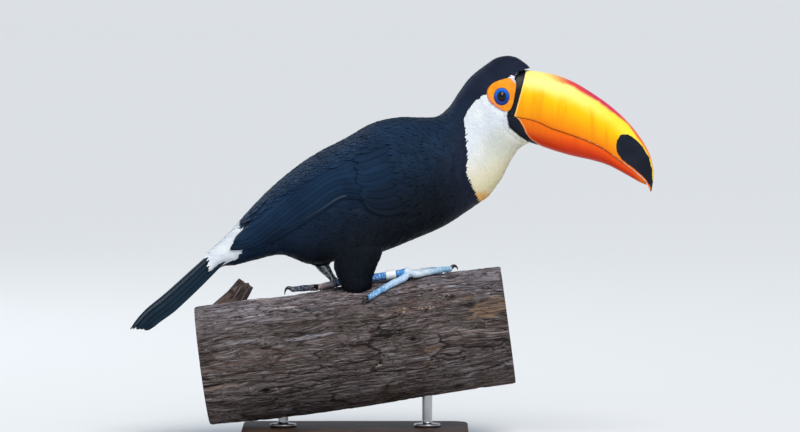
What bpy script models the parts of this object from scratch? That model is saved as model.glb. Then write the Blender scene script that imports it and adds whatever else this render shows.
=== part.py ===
"""A life-size toco toucan on a cut length of branch, carried by a plain display stand.

Blender 4.5, metres, +Z up. The bird faces +X and its left side is +Y. The origin is the middle
of the base's underside. Lengths in the tables below are millimetres, and MM turns them to metres.
"""

import math

import bmesh
import bpy
from mathutils import Matrix, Vector

MM = 0.001
GAP = 0.35  # between two pieces that touch
SIDES = {"right": -1, "left": 1}

# ---- stand and perch ----
BASE = {"length": 220, "width": 140, "height": 12, "corner": 18, "edge": 2}
ROD = {"radius": 5, "flange_radius": 13, "flange_height": 3, "reach": 70}
PERCH = {"half_length": 150, "radius": 60, "end_taper": 2, "height": 91.2, "rise": math.radians(7.6),
         "dip": 2.6, "dip_at": -55, "dip_reach": 38}
STUB = {"along": -123, "around": math.radians(-8), "depth": 14, "lean": math.radians(33), "length": 27}

# ---- the bird's body, from the bill's base to the root of the tail ----
# Each station is (back x, back z, belly x, belly z, half width): a section across the body.
BODY = (
    (166.8, 362.8, 170.7, 289.1, 20.5),
    (155.2, 372.0, 161.0, 284.2, 23.5),
    (138.7, 371.5, 153.3, 274.5, 25.0),
    (123.2, 361.8, 147.4, 263.8, 25.5),
    (110.6, 351.1, 142.6, 254.1, 26.5),
    (99.9, 336.6, 135.8, 244.4, 29.0),
    (91.2, 323.5, 129.0, 236.0, 33.0),
    (79.5, 314.3, 121.2, 230.5, 38.0),
    (63.0, 313.3, 109.6, 222.5, 42.0),
    (41.7, 313.3, 86.3, 207.6, 44.0),
    (16.5, 307.5, 55.3, 194.0, 45.0),
    (-9.7, 292.9, 22.3, 181.4, 43.0),
    (-37.8, 278.4, -12.6, 174.6, 38.0),
    (-63.0, 260.9, -43.6, 170.5, 31.0),
    (-86.3, 240.6, -70.8, 179.5, 25.0),
    (-105.7, 220.2, -96.0, 174.8, 20.5),
    (-121.2, 202.7, -115.4, 169.8, 19.0),
    (-135.8, 188.8, -131.0, 167.0, 18.2),
)
NECK_FROM, NECK_TO = 3.6, 6.6  # where the neck starts and ends, counted in stations
FULLNESS = 2.3  # a section's superellipse power: 2 is an ellipse, more is squarer
BELLY_WEIGHT = 0.07  # how much wider a section is below its middle than above

# ---- the bill ----
# (culmen x, culmen z, cutting edge x, cutting edge z, half width)
UPPER_BILL = (
    (140.7, 362.0, 129.0, 321.1, 19.5),
    (162.0, 359.5, 151.3, 315.2, 20.0),
    (179.4, 357.4, 172.7, 310.9, 20.3),
    (196.9, 353.6, 190.1, 303.6, 20.0),
    (215.3, 345.8, 205.6, 298.3, 19.0),
    (234.7, 333.7, 223.1, 292.0, 17.5),
    (253.2, 320.1, 239.6, 284.2, 15.5),
    (268.7, 304.8, 254.1, 274.0, 13.0),
    (279.8, 289.5, 266.8, 264.8, 10.2),
    (286.6, 276.4, 276.4, 257.2, 7.6),
    (289.4, 263.8, 282.3, 251.2, 5.2),
    (289.6, 253.2, 285.2, 245.6, 3.1),
    (287.8, 241.5, 287.1, 241.0, 0.8),
)
# (cutting edge x, cutting edge z, keel x, keel z, half width), its edge just under the upper one
LOWER_BILL = (
    (129.0, 320.6, 132.9, 299.7, 18.0),
    (151.3, 314.7, 155.2, 293.4, 18.5),
    (172.7, 310.4, 177.0, 286.4, 18.6),
    (190.1, 303.1, 194.6, 280.4, 18.0),
    (205.6, 297.8, 210.0, 276.0, 17.0),
    (223.1, 291.5, 227.9, 272.1, 15.4),
    (239.6, 283.6, 245.4, 266.8, 13.4),
    (254.1, 273.4, 258.6, 260.2, 11.0),
    (266.8, 264.1, 269.2, 254.2, 8.4),
    (276.4, 256.4, 277.6, 249.6, 5.8),
    (282.6, 250.2, 283.2, 247.4, 2.2),
)
# The edge where the feathers end and the bill's hard base begins, from forehead to chin.
BILL_SEAT = (
    (184.0, 368.0), (170.7, 361.2), (159.1, 358.2), (155.2, 352.1), (152.3, 331.7),
    (149.9, 324.0), (147.4, 315.2), (149.4, 304.6), (158.6, 296.3), (167.8, 290.0), (181.0, 283.0),
)

# ---- eye, wings, tail ----
EYE = {"x": 141.9, "z": 334.2, "radius": 7.5, "proud": 1.4}
WING_UPPER = (
    (94.1, 273.5), (82.5, 297.8), (58.2, 304.6), (29.1, 302.6), (-4.8, 286.1),
    (-35.9, 269.7), (-63.0, 251.2), (-86.3, 231.8), (-104.8, 214.4), (-116.4, 201.8),
)
WING_LOWER = (
    (95.1, 265.8), (89.2, 248.3), (74.7, 234.7), (53.4, 226.0), (24.2, 224.5),
    (-4.8, 236.0), (-35.9, 223.4), (-65.0, 205.5), (-90.2, 188.8), (-110.6, 184.3),
)
WING_DEPTH = {"edge": 1.6, "middle": 5.5, "below_skin": 6.0}
TAIL_TOP = (
    (-111.6, 208.0), (-125.7, 195.8), (-153.5, 171.2), (-184.7, 143.0),
    (-202.0, 128.8), (-212.4, 117.6), (-219.0, 107.9),
)
TAIL = {"root_width": 12, "width": 22, "arch": 16.5, "arch_angle": math.radians(80),
        "side_shortfall": 0.11, "thickness": 2.6}

# ---- legs ----
# Level sections down each feathered leg: (x, y, z, half length, half width).
THIGHS = {
    "right": ((10, -20, 216, 25, 20), (5.5, -20, 192, 25, 19), (0.5, -19.5, 171, 21.5, 16),
              (0, -18.5, 158, 17, 14), (1.5, -18.5, 150, 15, 12.5), (2.5, -18.5, 143.5, 10, 9)),
    "left": ((-12, 29, 212, 24, 15), (-22, 28, 197, 24, 15), (-29, 24.5, 184, 20, 14),
             (-34, 20.5, 175, 15, 12), (-36, 18.5, 169.5, 10.5, 9.5), (-36, 18, 166, 7, 7)),
}
SHANK = {"radius": 3.4, "heel_radius": 4.4}
HEELS = {"right": (-2.9, -17.0, 155.5), "left": (-42.5, 19.5, 181.5)}
BAND = {"share": 0.70, "height": 9.6, "radius": 4.7, "wall": 0.85}
JOINT_RADIUS = 4.3
# Toe paths on the perch: (along mm, round degrees), with how far a point is raised where it is.
# Positive round is the right, or -Y, side. The joint, where the toes meet, states its full lift.
FEET = {
    "right": {
        "joint": (60, 13, 7.2),
        "toe_1": ((55, 6), (46, 0), (38, -5)),
        "toe_2": ((66, 7), (76, 0), (85, -6), (91, -11)),
        "toe_3": ((68, 12), (80, 9), (92, 5), (101, 1)),
        "toe_4": ((56, 18), (44, 26.5), (29, 36), (20, 42, 1)),
    },
    "left": {
        "joint": (-11, -14, 5.0),
        "toe_1": ((-14, -8), (-21, -3), (-28, 2)),
        "toe_2": ((-4, -8), (6, -4), (16, -1), (24, 2)),
        "toe_3": ((-1, -15), (13, -17), (27, -19), (39, -22)),
        "toe_4": ((-15, -14), (-28, -13), (-41, -11, 1.5), (-53, -9, 2.5)),
    },
}
TOE_RADII = (3.6, 3.3, 3.1, 2.7)
CLAW = {"length": 10.5, "root": 1.9, "tip": 0.45, "hump": 2.2, "clear": 0.8}

COLOURS = {
    "black_feather": ((0.012, 0.014, 0.022), 0.62, 0.0),
    "white_feather": ((0.80, 0.80, 0.76), 0.75, 0.0),
    "bill_orange": ((0.95, 0.36, 0.02), 0.30, 0.0),
    "eye": ((0.02, 0.012, 0.01), 0.08, 0.0),
    "leg_blue": ((0.10, 0.30, 0.55), 0.55, 0.0),
    "claw": ((0.015, 0.014, 0.013), 0.35, 0.0),
    "band": ((0.82, 0.82, 0.80), 0.40, 0.0),
    "bark": ((0.16, 0.11, 0.08), 0.90, 0.0),
    "base_wood": ((0.05, 0.03, 0.02), 0.35, 0.0),
    "steel": ((0.55, 0.55, 0.56), 0.35, 1.0),
}


# ---------------------------------------------------------------- scene helpers


def clear_scene():
    for obj in list(bpy.data.objects):
        bpy.data.objects.remove(obj)


def new_collection(name):
    collection = bpy.data.collections.new(name)
    bpy.context.scene.collection.children.link(collection)
    return collection


def new_material(name):
    colour, roughness, metallic = COLOURS[name]
    material = bpy.data.materials.new(name)
    material.use_nodes = True
    shader = material.node_tree.nodes["Principled BSDF"]
    shader.inputs["Base Color"].default_value = (*colour, 1)
    shader.inputs["Roughness"].default_value = roughness
    shader.inputs["Metallic"].default_value = metallic
    return material


def add_object(name, data, finish):
    """A part of the model, or a cutter where finish is None."""
    obj = bpy.data.objects.new(name, data)
    if finish is None:
        cutters.objects.link(obj)
        obj.hide_render = True
        obj.display_type = "WIRE"
        return obj
    model.objects.link(obj)
    if data.materials:
        data.materials[0] = materials[finish]
    else:
        data.materials.append(materials[finish])
    return obj


def mesh_from(bm, name, smooth_below=40):
    """Closes a bmesh into a mesh whose faces point out."""
    bmesh.ops.recalc_face_normals(bm, faces=bm.faces)
    mesh = bpy.data.meshes.new(name)
    bm.to_mesh(mesh)
    bm.free()
    mesh.shade_smooth()
    mesh.set_sharp_from_angle(angle=math.radians(smooth_below))
    return mesh


def as_mesh(obj):
    """A curve or a modified object made a plain welded mesh, in place."""
    bpy.context.view_layer.update()
    graph = bpy.context.evaluated_depsgraph_get()
    made = bpy.data.meshes.new_from_object(obj.evaluated_get(graph))
    bm = bmesh.new()
    bm.from_mesh(made)
    bmesh.ops.transform(bm, matrix=obj.matrix_world, verts=bm.verts)
    bmesh.ops.remove_doubles(bm, verts=bm.verts, dist=0.01 * MM)
    bpy.data.meshes.remove(made)
    name = obj.name
    bpy.data.objects.remove(obj)
    return mesh_from(bm, name)


def boolean(obj, other, operation):
    modifier = obj.modifiers.new(f"{operation.lower()} {other.name}", "BOOLEAN")
    modifier.operation = operation
    modifier.object = other
    modifier.solver = "EXACT"
    return obj


# ---------------------------------------------------------------- curves and lofts


def spline_at(table, position):
    """A table's row at a position counted in rows, on a Catmull-Rom curve through them."""
    last = len(table) - 1
    position = min(max(position, 0.0), float(last))
    i = min(int(position), last - 1)
    t = position - i
    before, start, end, after = (table[min(max(i + k, 0), last)] for k in (-1, 0, 1, 2))
    return tuple(
        0.5 * (2 * b + (c - a) * t + (2 * a - 5 * b + 4 * c - d) * t * t + (3 * b - a - 3 * c + d) * t**3)
        for a, b, c, d in zip(before, start, end, after)
    )


def power(value, exponent):
    return math.copysign(abs(value) ** exponent, value)


def loft(name, rings, finish):
    """A closed solid through rings of points, with a flat cap at each end."""
    bm = bmesh.new()
    rows = [[bm.verts.new(point) for point in ring] for ring in rings]
    count = len(rows[0])
    for row, following in zip(rows, rows[1:]):
        for k in range(count):
            m = (k + 1) % count
            bm.faces.new((row[k], row[m], following[m], following[k]))
    bm.faces.new(rows[0])
    bm.faces.new(reversed(rows[-1]))
    return add_object(name, mesh_from(bm, name), finish)


def tube(name, points, radii, finish, sides=2):
    """A round tube through points whose radius changes from one to the next."""
    curve = bpy.data.curves.new(name, "CURVE")
    curve.dimensions = "3D"
    curve.bevel_depth = 1.0
    curve.bevel_resolution = sides
    curve.use_fill_caps = True
    spline = curve.splines.new("POLY")
    spline.points.add(len(points) - 1)
    for slot, point, radius in zip(spline.points, points, radii):
        slot.co = (*point, 1)
        slot.radius = radius
    return add_object(name, as_mesh(add_object(name + "_route", curve, None)), finish)


def ball(name, centre, radius, finish, segments=14):
    bm = bmesh.new()
    bmesh.ops.create_uvsphere(bm, u_segments=segments, v_segments=segments // 2 + 2, radius=radius)
    bmesh.ops.translate(bm, verts=bm.verts, vec=centre)
    return add_object(name, mesh_from(bm, name, 80), finish)


def side_prism(name, outline, half_depth):
    """A cutter: an outline in the X-Z plane, carried half_depth to each side."""
    curve = bpy.data.curves.new(name, "CURVE")
    curve.dimensions = "2D"
    curve.fill_mode = "BOTH"
    curve.extrude = half_depth
    spline = curve.splines.new("POLY")
    spline.use_cyclic_u = True
    spline.points.add(len(outline) - 1)
    for slot, (x, z) in zip(spline.points, outline):
        slot.co = (x, z, 0, 1)
    flat = add_object(name + "_outline", curve, None)
    flat.rotation_euler.x = math.radians(90)
    return add_object(name, as_mesh(flat), None)


# ---------------------------------------------------------------- body


def body_section(position):
    """Middle, half height vector and half width of the body's section, in millimetres."""
    back_x, back_z, belly_x, belly_z, half_width = spline_at(BODY, position)
    middle = Vector(((back_x + belly_x) / 2, 0, (back_z + belly_z) / 2))
    half_height = Vector((back_x - belly_x, 0, back_z - belly_z)) / 2
    return middle, half_height, half_width


def width_share(height):
    """How wide a section is at a height from -1 to 1, against its full half width."""
    round_part = max(0.0, 1 - abs(height) ** FULLNESS) ** (1 / FULLNESS)
    return round_part * (1 - BELLY_WEIGHT * height)


def body_ring(position, grow=0.0, count=24):
    """A section's outline: a superellipse, a little wider towards the belly."""
    middle, half_height, half_width = body_section(position)
    tall = half_height * (1 + grow / half_height.length)
    ring = []
    for k in range(count):
        angle = 2 * math.pi * k / count
        height = power(math.sin(angle), 2 / FULLNESS)
        side = power(math.cos(angle), 2 / FULLNESS) * (1 - BELLY_WEIGHT * height)
        ring.append((middle + tall * height + Vector((0, side * (half_width + grow), 0))) * MM)
    return ring


def body_length(name, start, end, finish, grow=0.0, rings_per_station=2):
    steps = max(2, round((end - start) * rings_per_station))
    rings = [body_ring(start + (end - start) * k / steps, grow) for k in range(steps + 1)]
    return loft(name, rings, finish)


def station_gap(position):
    """How far along, counted in stations, half a gap is at this section."""
    here, there = body_section(position)[0], body_section(position + 0.1)[0]
    return 0.1 * (GAP / 2) / (there - here).length


def side_width(x, z):
    """Half the body's width at a place seen from the side, in millimetres."""
    best_share, width = 9.0, 0.0
    steps = 20 * (len(BODY) - 1)
    for k in range(steps + 1):
        middle, half_height, half_width = body_section(k / 20)
        offset = Vector((x, 0, z)) - middle
        height = offset.dot(half_height) / half_height.length_squared
        stray = (offset - half_height * height).length
        if stray < best_share and abs(height) < 1.2:
            best_share = stray
            width = half_width * width_share(min(1.0, max(-1.0, height)))
    return width


def make_body():
    """Head, neck and trunk: one form, parted at two sections."""
    last = len(BODY) - 1
    before_neck, after_neck = station_gap(NECK_FROM), station_gap(NECK_TO)
    head = body_length("head", 0, NECK_FROM - before_neck, "black_feather", rings_per_station=2.6)
    body_length("neck", NECK_FROM + before_neck, NECK_TO - after_neck, "black_feather")
    body_length("trunk", NECK_TO + after_neck, last, "black_feather")
    full_trunk = body_length("trunk_room", NECK_TO - 1, last, None, grow=GAP)
    boolean(head, side_prism("bill_seat", seat_outline(0), 0.05), "DIFFERENCE")
    return head, full_trunk


# ---------------------------------------------------------------- head


def seat_outline(shift):
    """The bill's side of the seat, closed well outside the bill, in metres."""
    seat = [((x + shift) * MM, z * MM) for x, z in BILL_SEAT]
    return seat + [(0.185, 0.22), (0.34, 0.22), (0.34, BILL_SEAT[0][1] * MM)]


def bill_half(name, table, profile, count=8):
    """One half of the bill: sections from its edge line to its ridge, closed across."""
    rings = []
    steps = 2 * (len(table) - 1)
    for k in range(steps + 1):
        ridge_x, ridge_z, edge_x, edge_z, half_width = profile["row"](spline_at(table, k / 2))
        edge, rise = Vector((edge_x, 0, edge_z)), Vector((ridge_x - edge_x, 0, ridge_z - edge_z))
        right = []
        for m in range(count):
            height = math.sin(0.5 * math.pi * m / (count - 1))
            side = half_width * profile["width"](height)
            right.append((edge + rise * height, side))
        ring = [(p + Vector((0, -side, 0))) * MM for p, side in right]
        ring += [(p + Vector((0, side, 0))) * MM for p, side in reversed(right[:-1])]
        rings.append(ring)
    return loft(name, rings, "bill_orange")


def upper_width(height):
    """The upper half is widest a third of the way up and rounds over to the culmen."""
    if height < 0.3:
        return 1 - 0.06 * ((0.3 - height) / 0.3) ** 2
    return max(0.0, 1 - ((height - 0.3) / 0.7) ** 2.6) ** (1 / 2.2)


def lower_width(height):
    """The lower half is widest at its cutting edge and rounds under to the keel."""
    return max(0.0, 1 - height**2.4) ** (1 / 2.2)


def make_bill():
    """Upper and lower halves, cut to the seat that the feathers leave."""
    upper = bill_half("bill_upper", UPPER_BILL, {"row": lambda row: row, "width": upper_width})
    swapped = {"row": lambda row: (*row[2:4], *row[:2], row[4]), "width": lower_width}
    lower = bill_half("bill_lower", LOWER_BILL, swapped)
    room = side_prism("bill_room", seat_outline(GAP), 0.05)
    for half in (upper, lower):
        boolean(half, room, "INTERSECT")


def make_eyes(head):
    """A ball in a socket on each side, as deep as leaves its front just proud."""
    for side, sign in SIDES.items():
        depth = side_width(EYE["x"], EYE["z"]) + EYE["proud"] - EYE["radius"]
        centre = Vector((EYE["x"], sign * depth, EYE["z"])) * MM
        ball(f"eye_{side}", centre, EYE["radius"] * MM, "eye")
        socket = ball(f"socket_{side}", centre, (EYE["radius"] + GAP) * MM, None)
        boolean(head, socket, "DIFFERENCE")


# ---------------------------------------------------------------- wings and tail


def sheet(name, columns, thickness, finish):
    """A solid from a curved grid of points, thickened on its inner side."""
    bm = bmesh.new()
    rows = [[bm.verts.new(point) for point in column] for column in columns]
    for row, following in zip(rows, rows[1:]):
        for k in range(len(row) - 1):
            bm.faces.new((row[k], row[k + 1], following[k + 1], following[k]))
    flat = add_object(name + "_face", mesh_from(bm, name), None)
    outward = flat.data.polygons[len(flat.data.polygons) // 2].normal
    middle = flat.data.polygons[len(flat.data.polygons) // 2].center
    facing_out = outward.y * middle.y + outward.z * (abs(middle.y) < 0.01) > 0
    solidify = flat.modifiers.new("thickness", "SOLIDIFY")
    solidify.thickness = thickness
    solidify.offset = -1 if facing_out else 1
    return add_object(name, as_mesh(flat), finish)


def make_wing(side, sign, trunk_room, along=15, across=7):
    """A folded wing: a curved plate that follows the trunk, with its inner face cut to it."""
    columns = []
    for i in range(along + 1):
        share = i / along
        upper = spline_at(WING_UPPER, share * (len(WING_UPPER) - 1))
        lower = spline_at(WING_LOWER, share * (len(WING_LOWER) - 1))
        column = []
        for j in range(across + 1):
            down = j / across
            x, z = (u + (v - u) * down for u, v in zip(upper, lower))
            swell = math.sin(math.pi * down) ** 0.6 * math.sin(math.pi * (0.08 + 0.84 * share)) ** 0.4
            cover = WING_DEPTH["edge"] + (WING_DEPTH["middle"] - WING_DEPTH["edge"]) * swell
            column.append(Vector((x, sign * (side_width(x, z) + cover), z)) * MM)
        columns.append(column)
    wing = sheet(f"wing_{side}", columns, (WING_DEPTH["below_skin"] + 2) * MM, "black_feather")
    boolean(wing, trunk_room, "DIFFERENCE")


def make_tail(trunk_room, along=10, across=8):
    """The folded tail: a long plate, arched across like a roof, its outer feathers shorter."""
    columns = []
    last = len(TAIL_TOP) - 1
    for i in range(along + 1):
        share = i / along
        widening = min(1.0, share / 0.55) ** 0.8
        half_width = TAIL["root_width"] + (TAIL["width"] - TAIL["root_width"]) * widening
        column = []
        for j in range(across + 1):
            across_share = 2 * j / across - 1
            reach = share * (1 - TAIL["side_shortfall"] * across_share**2 * share) * last
            x, z = spline_at(TAIL_TOP, reach)
            ahead = spline_at(TAIL_TOP, reach + 0.05)
            behind = spline_at(TAIL_TOP, reach - 0.05)
            run = Vector((ahead[0] - behind[0], 0, ahead[1] - behind[1])).normalized()
            under = Vector((-run.z, 0, run.x))
            angle = across_share * TAIL["arch_angle"]
            drop = TAIL["arch"] * (1 - math.cos(angle)) / (1 - math.cos(TAIL["arch_angle"]))
            tip = 1 - 0.30 * max(0.0, (share - 0.8) / 0.2) ** 2
            y = tip * half_width * math.sin(angle) / math.sin(TAIL["arch_angle"])
            column.append((Vector((x, y, z)) + under * drop * (0.6 + 0.4 * widening)) * MM)
        columns.append(column)
    tail = sheet("tail", columns, TAIL["thickness"] * MM, "black_feather")
    boolean(tail, trunk_room, "DIFFERENCE")


# ---------------------------------------------------------------- perch


def perch_radius(along, around):
    """The branch's radius: a slow taper to each end, low swells round its sides, a dip on top."""
    taper = PERCH["end_taper"] * (along / PERCH["half_length"]) ** 2
    swell = 1.2 * math.sin(3 * around + along / 55) * (1 - math.cos(around)) / 2
    dip = PERCH["dip"] * math.exp(-(((along - PERCH["dip_at"]) / PERCH["dip_reach"]) ** 2))
    return PERCH["radius"] - taper + swell - dip * max(0.0, math.cos(around))


def on_perch(along, around, lift, radius=None):
    """A point over the bark, in metres: along the axis, round from the top, and out from it."""
    rise = PERCH["rise"]
    out = (perch_radius(along, around) if radius is None else radius) + lift
    axis, top = Vector((math.cos(rise), 0, math.sin(rise))), Vector((-math.sin(rise), 0, math.cos(rise)))
    middle = Vector((0, 0, PERCH["height"])) + axis * along
    return (middle + top * out * math.cos(around) + Vector((0, -out * math.sin(around), 0))) * MM


def log(name, finish, grow=0.0, rings=12, count=28):
    half = PERCH["half_length"] + grow
    places = [half * (2 * k / (rings - 1) - 1) for k in range(rings)]
    turns = [2 * math.pi * m / count for m in range(count)]
    return loft(name, [[on_perch(a, t, grow) for t in turns] for a in places], finish)


def make_perch():
    """The cut branch, with the broken stub of a side branch near its low end."""
    perch = log("perch", "bark")
    root = on_perch(STUB["along"], STUB["around"], -STUB["depth"])
    lean = Matrix.Rotation(STUB["lean"], 3, "Y")
    direction = lean @ Vector((0, 0.08, 1)).normalized()
    depth, length = STUB["depth"], STUB["length"]
    stations = ((0, 17), (depth, 13.5), (depth + 0.4 * length, 10.5), (depth + length, 8.6))
    points = [root + direction * (reach * MM) for reach, _ in stations]
    stub = tube("stub", points, [radius * MM for _, radius in stations], None, 3)
    boolean(perch, stub, "UNION")
    return log("perch_room", None, grow=GAP)


def make_stand(perch_room):
    """A flat base and two short rods, each on a round foot, cut to the underside of the perch."""
    bm = bmesh.new()
    bmesh.ops.create_cube(bm, size=1.0)
    size = Vector((BASE["length"], BASE["width"], BASE["height"])) * MM
    bmesh.ops.scale(bm, vec=size, verts=bm.verts)
    bmesh.ops.translate(bm, vec=(0, 0, size.z / 2), verts=bm.verts)
    upright = [e for e in bm.edges if abs(e.verts[0].co.z - e.verts[1].co.z) > size.z / 2]
    bmesh.ops.bevel(bm, geom=upright, offset=BASE["corner"] * MM, segments=6, affect="EDGES", profile=0.5)
    top_edges = [e for e in bm.edges if min(v.co.z for v in e.verts) > size.z * 0.9]
    bmesh.ops.bevel(bm, geom=top_edges, offset=BASE["edge"] * MM, segments=2, affect="EDGES", profile=0.5)
    add_object("stand_base", mesh_from(bm, "stand_base", 20), "base_wood")

    low = BASE["height"] + GAP
    flange_top, rod_top = low + ROD["flange_height"], PERCH["height"]
    profile = ((0, rod_top), (ROD["radius"], rod_top), (ROD["radius"], flange_top + 1),
               (ROD["radius"] + 1, flange_top), (ROD["flange_radius"] - 0.8, flange_top),
               (ROD["flange_radius"], flange_top - 0.8), (ROD["flange_radius"], low), (0, low))
    for place, sign in (("rear", -1), ("front", 1)):
        mesh = bpy.data.meshes.new(f"stand_rod_{place}")
        edges = [(k, k + 1) for k in range(len(profile) - 1)]
        mesh.from_pydata([(r * MM, 0, z * MM) for r, z in profile], edges, [])
        turned = add_object(f"rod_profile_{place}", mesh, None)
        turned.location.x = sign * ROD["reach"] * MM
        screw = turned.modifiers.new("turn", "SCREW")
        screw.steps = screw.render_steps = 18
        screw.use_merge_vertices = True
        screw.merge_threshold = 0.00005
        rod = add_object(f"stand_rod_{place}", as_mesh(turned), "steel")
        boolean(rod, perch_room, "DIFFERENCE")


# ---------------------------------------------------------------- legs and feet


def foot_joint(side):
    along, around, lift = FEET[side]["joint"]
    return on_perch(along, math.radians(around), lift)


def make_foot(side, shank_room):
    """Two toes forward and two back from one joint, lying on the bark, each with its claw."""
    centre = foot_joint(side)
    foot = ball(f"foot_{side}", centre, JOINT_RADIUS * MM, "leg_blue", 12)
    for number in range(1, 5):
        route = FEET[side][f"toe_{number}"]
        radii = TOE_RADII[: len(route)] if len(route) == 4 else (3.2, 2.8, 2.4)
        points = [centre]
        for (along, around, *raised), radius in zip(route, radii):
            points.append(on_perch(along, math.radians(around), radius + GAP + sum(raised)))
        steps = 7
        smooth = [Vector(spline_at(points, k * (len(points) - 1) / steps)) for k in range(steps + 1)]
        spread = [(r,) for r in (3.4, *radii)]
        widths = [spline_at(spread, k * (len(points) - 1) / steps)[0] * MM for k in range(steps + 1)]
        toe = tube(f"toe_{side}_{number}", smooth, widths, None)
        boolean(foot, toe, "UNION")
        make_claw(f"claw_{side}_{number}", route[-2], route[-1], radii[-1])
    boolean(foot, shank_room, "DIFFERENCE")


def make_claw(name, before, tip, toe_radius):
    """A hooked claw beyond the toe's end: it humps up, then curves down to the bark."""
    heading = Vector((tip[0] - before[0], math.radians(tip[1] - before[1]) * PERCH["radius"]))
    heading.normalize()
    start = toe_radius + GAP + sum(tip[2:])
    points, radii = [], []
    steps = 6
    for k in range(steps):
        share = k / (steps - 1)
        reach = toe_radius * 0.25 + GAP + CLAW["length"] * math.sin(share * 1.35) / math.sin(1.35) * 0.72
        lift = start * (1 - share**2) + CLAW["hump"] * math.sin(math.pi * share)
        along = tip[0] + heading.x * reach
        around = math.radians(tip[1]) + heading.y * reach / PERCH["radius"]
        radii.append((CLAW["root"] + (CLAW["tip"] - CLAW["root"]) * share**1.3) * MM)
        points.append(on_perch(along, around, lift + CLAW["clear"] * share))
    tube(name, points, radii, "claw", 1)


def make_leg(side, trunk_room, perch_room):
    """A feathered thigh that hides the heel, and a bare shank down to the foot's joint."""
    heel, joint = Vector(HEELS[side]) * MM, foot_joint(side)
    run = (joint - heel).normalized()
    end = joint - run * (JOINT_RADIUS + GAP) * MM
    points = [heel, heel + run * 0.008, heel.lerp(end, 0.5), end]
    widths = [SHANK["heel_radius"] * MM, *[SHANK["radius"] * MM] * 3]
    shank = tube(f"shank_{side}", points, widths, "leg_blue")
    boolean(shank, trunk_room, "DIFFERENCE")
    shank_room = tube(
        f"shank_room_{side}",
        [heel - run * GAP * MM, *points[1:3], end + run * GAP * MM],
        [width + GAP * MM for width in widths],
        None,
    )
    rings, table = [], THIGHS[side]
    steps = 2 * (len(table) - 1)
    turns = [2 * math.pi * m / 18 for m in range(18)]
    for k in range(steps + 1):
        x, y, z, half_length, half_width = spline_at(table, k / 2)
        rings.append([
            Vector((x + half_length * math.cos(t), y + half_width * math.sin(t), z)) * MM for t in turns
        ])
    thigh = loft(f"thigh_{side}", rings, "black_feather")
    for room in (trunk_room, shank_room, perch_room):
        boolean(thigh, room, "DIFFERENCE")
    return shank_room


def make_band():
    """The ring that the right shank wears: a short open tube round it."""
    heel, joint = Vector(HEELS["right"]) * MM, foot_joint("right")
    run = joint - heel
    bm = bmesh.new()
    bmesh.ops.create_cone(
        bm, cap_ends=False, segments=24, depth=BAND["height"] * MM,
        radius1=BAND["radius"] * MM, radius2=BAND["radius"] * MM,
    )
    turn = run.to_track_quat("Z", "Y").to_matrix().to_4x4()
    place = Matrix.Translation(heel + run * BAND["share"]) @ turn
    bmesh.ops.transform(bm, matrix=place, verts=bm.verts)
    band = add_object("leg_band", mesh_from(bm, "leg_band", 30), "band")
    wall = band.modifiers.new("wall", "SOLIDIFY")
    wall.thickness = BAND["wall"] * MM
    wall.offset = -1


clear_scene()
model, cutters = new_collection("Toco toucan"), new_collection("Cutters")
materials = {name: new_material(name) for name in COLOURS}

perch_room = make_perch()
make_stand(perch_room)
head, trunk_room = make_body()
make_bill()
make_eyes(head)
make_tail(trunk_room)
for side, sign in SIDES.items():
    make_wing(side, sign, trunk_room)
    shank_room = make_leg(side, trunk_room, perch_room)
    make_foot(side, shank_room)
make_band()
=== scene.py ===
import bmesh
import bpy
import numpy as np
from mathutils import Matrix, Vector


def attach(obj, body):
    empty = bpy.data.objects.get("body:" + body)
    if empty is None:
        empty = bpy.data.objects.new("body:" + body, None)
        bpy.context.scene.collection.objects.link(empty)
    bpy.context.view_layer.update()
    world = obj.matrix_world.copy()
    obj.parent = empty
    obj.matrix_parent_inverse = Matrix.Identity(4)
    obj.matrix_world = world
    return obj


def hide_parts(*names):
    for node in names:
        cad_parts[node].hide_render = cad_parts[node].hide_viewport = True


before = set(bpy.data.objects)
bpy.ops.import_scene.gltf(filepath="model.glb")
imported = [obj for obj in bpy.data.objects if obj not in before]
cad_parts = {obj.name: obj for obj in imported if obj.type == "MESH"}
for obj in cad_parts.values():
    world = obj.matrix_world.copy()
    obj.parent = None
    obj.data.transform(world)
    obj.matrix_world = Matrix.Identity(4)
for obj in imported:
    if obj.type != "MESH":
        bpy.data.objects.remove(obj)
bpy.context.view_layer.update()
mm = 0.001
gap = 0.35  # between a piece and its neighbour, in millimetres
turn = 2 * np.pi
print("frame loaded")

# Lengths in the tables are millimetres in the frame: X is towards the bill, Z is up, and the
# bird's right side has negative Y.


# Arrays spread to one shape and set side by side along a new last axis.
def stacked(*parts):
    return np.stack(np.broadcast_arrays(*parts), -1)


def gridOf(first, second):
    return np.meshgrid(first, second, indexing="ij")


def ringAngles(count):
    return np.linspace(0, turn, count + 1)[:-1]


# The length travelled along a line, at each of its points.
def travel(points):
    return np.concatenate([[0], np.cumsum(np.linalg.norm(np.diff(points, axis=0), axis=1))])


# A table's rows at places counted in rows, on a Catmull-Rom curve through them.
def rowsAt(table, place):
    table = np.asarray(table, float)
    last = len(table) - 1
    place = np.clip(place, 0, last)
    i = np.minimum(place.astype(int), last - 1)
    t = (place - i)[..., None]
    before, start, end, after = (table[np.clip(i + k, 0, last)] for k in (-1, 0, 1, 2))
    curve = 2 * start + (end - before) * t + (2 * before - 5 * start + 4 * end - after) * t**2
    return 0.5 * (curve + (3 * start - before - 3 * end + after) * t**3)


# From 0 to 1 as value goes from low to high, flat at both ends.
def smoothStep(value, low, high):
    t = np.clip((value - low) / (high - low), 0, 1)
    return t * t * (3 - 2 * t)


def unit(vectors):
    return vectors / np.maximum(np.linalg.norm(vectors, axis=-1, keepdims=True), 1e-12)


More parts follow.
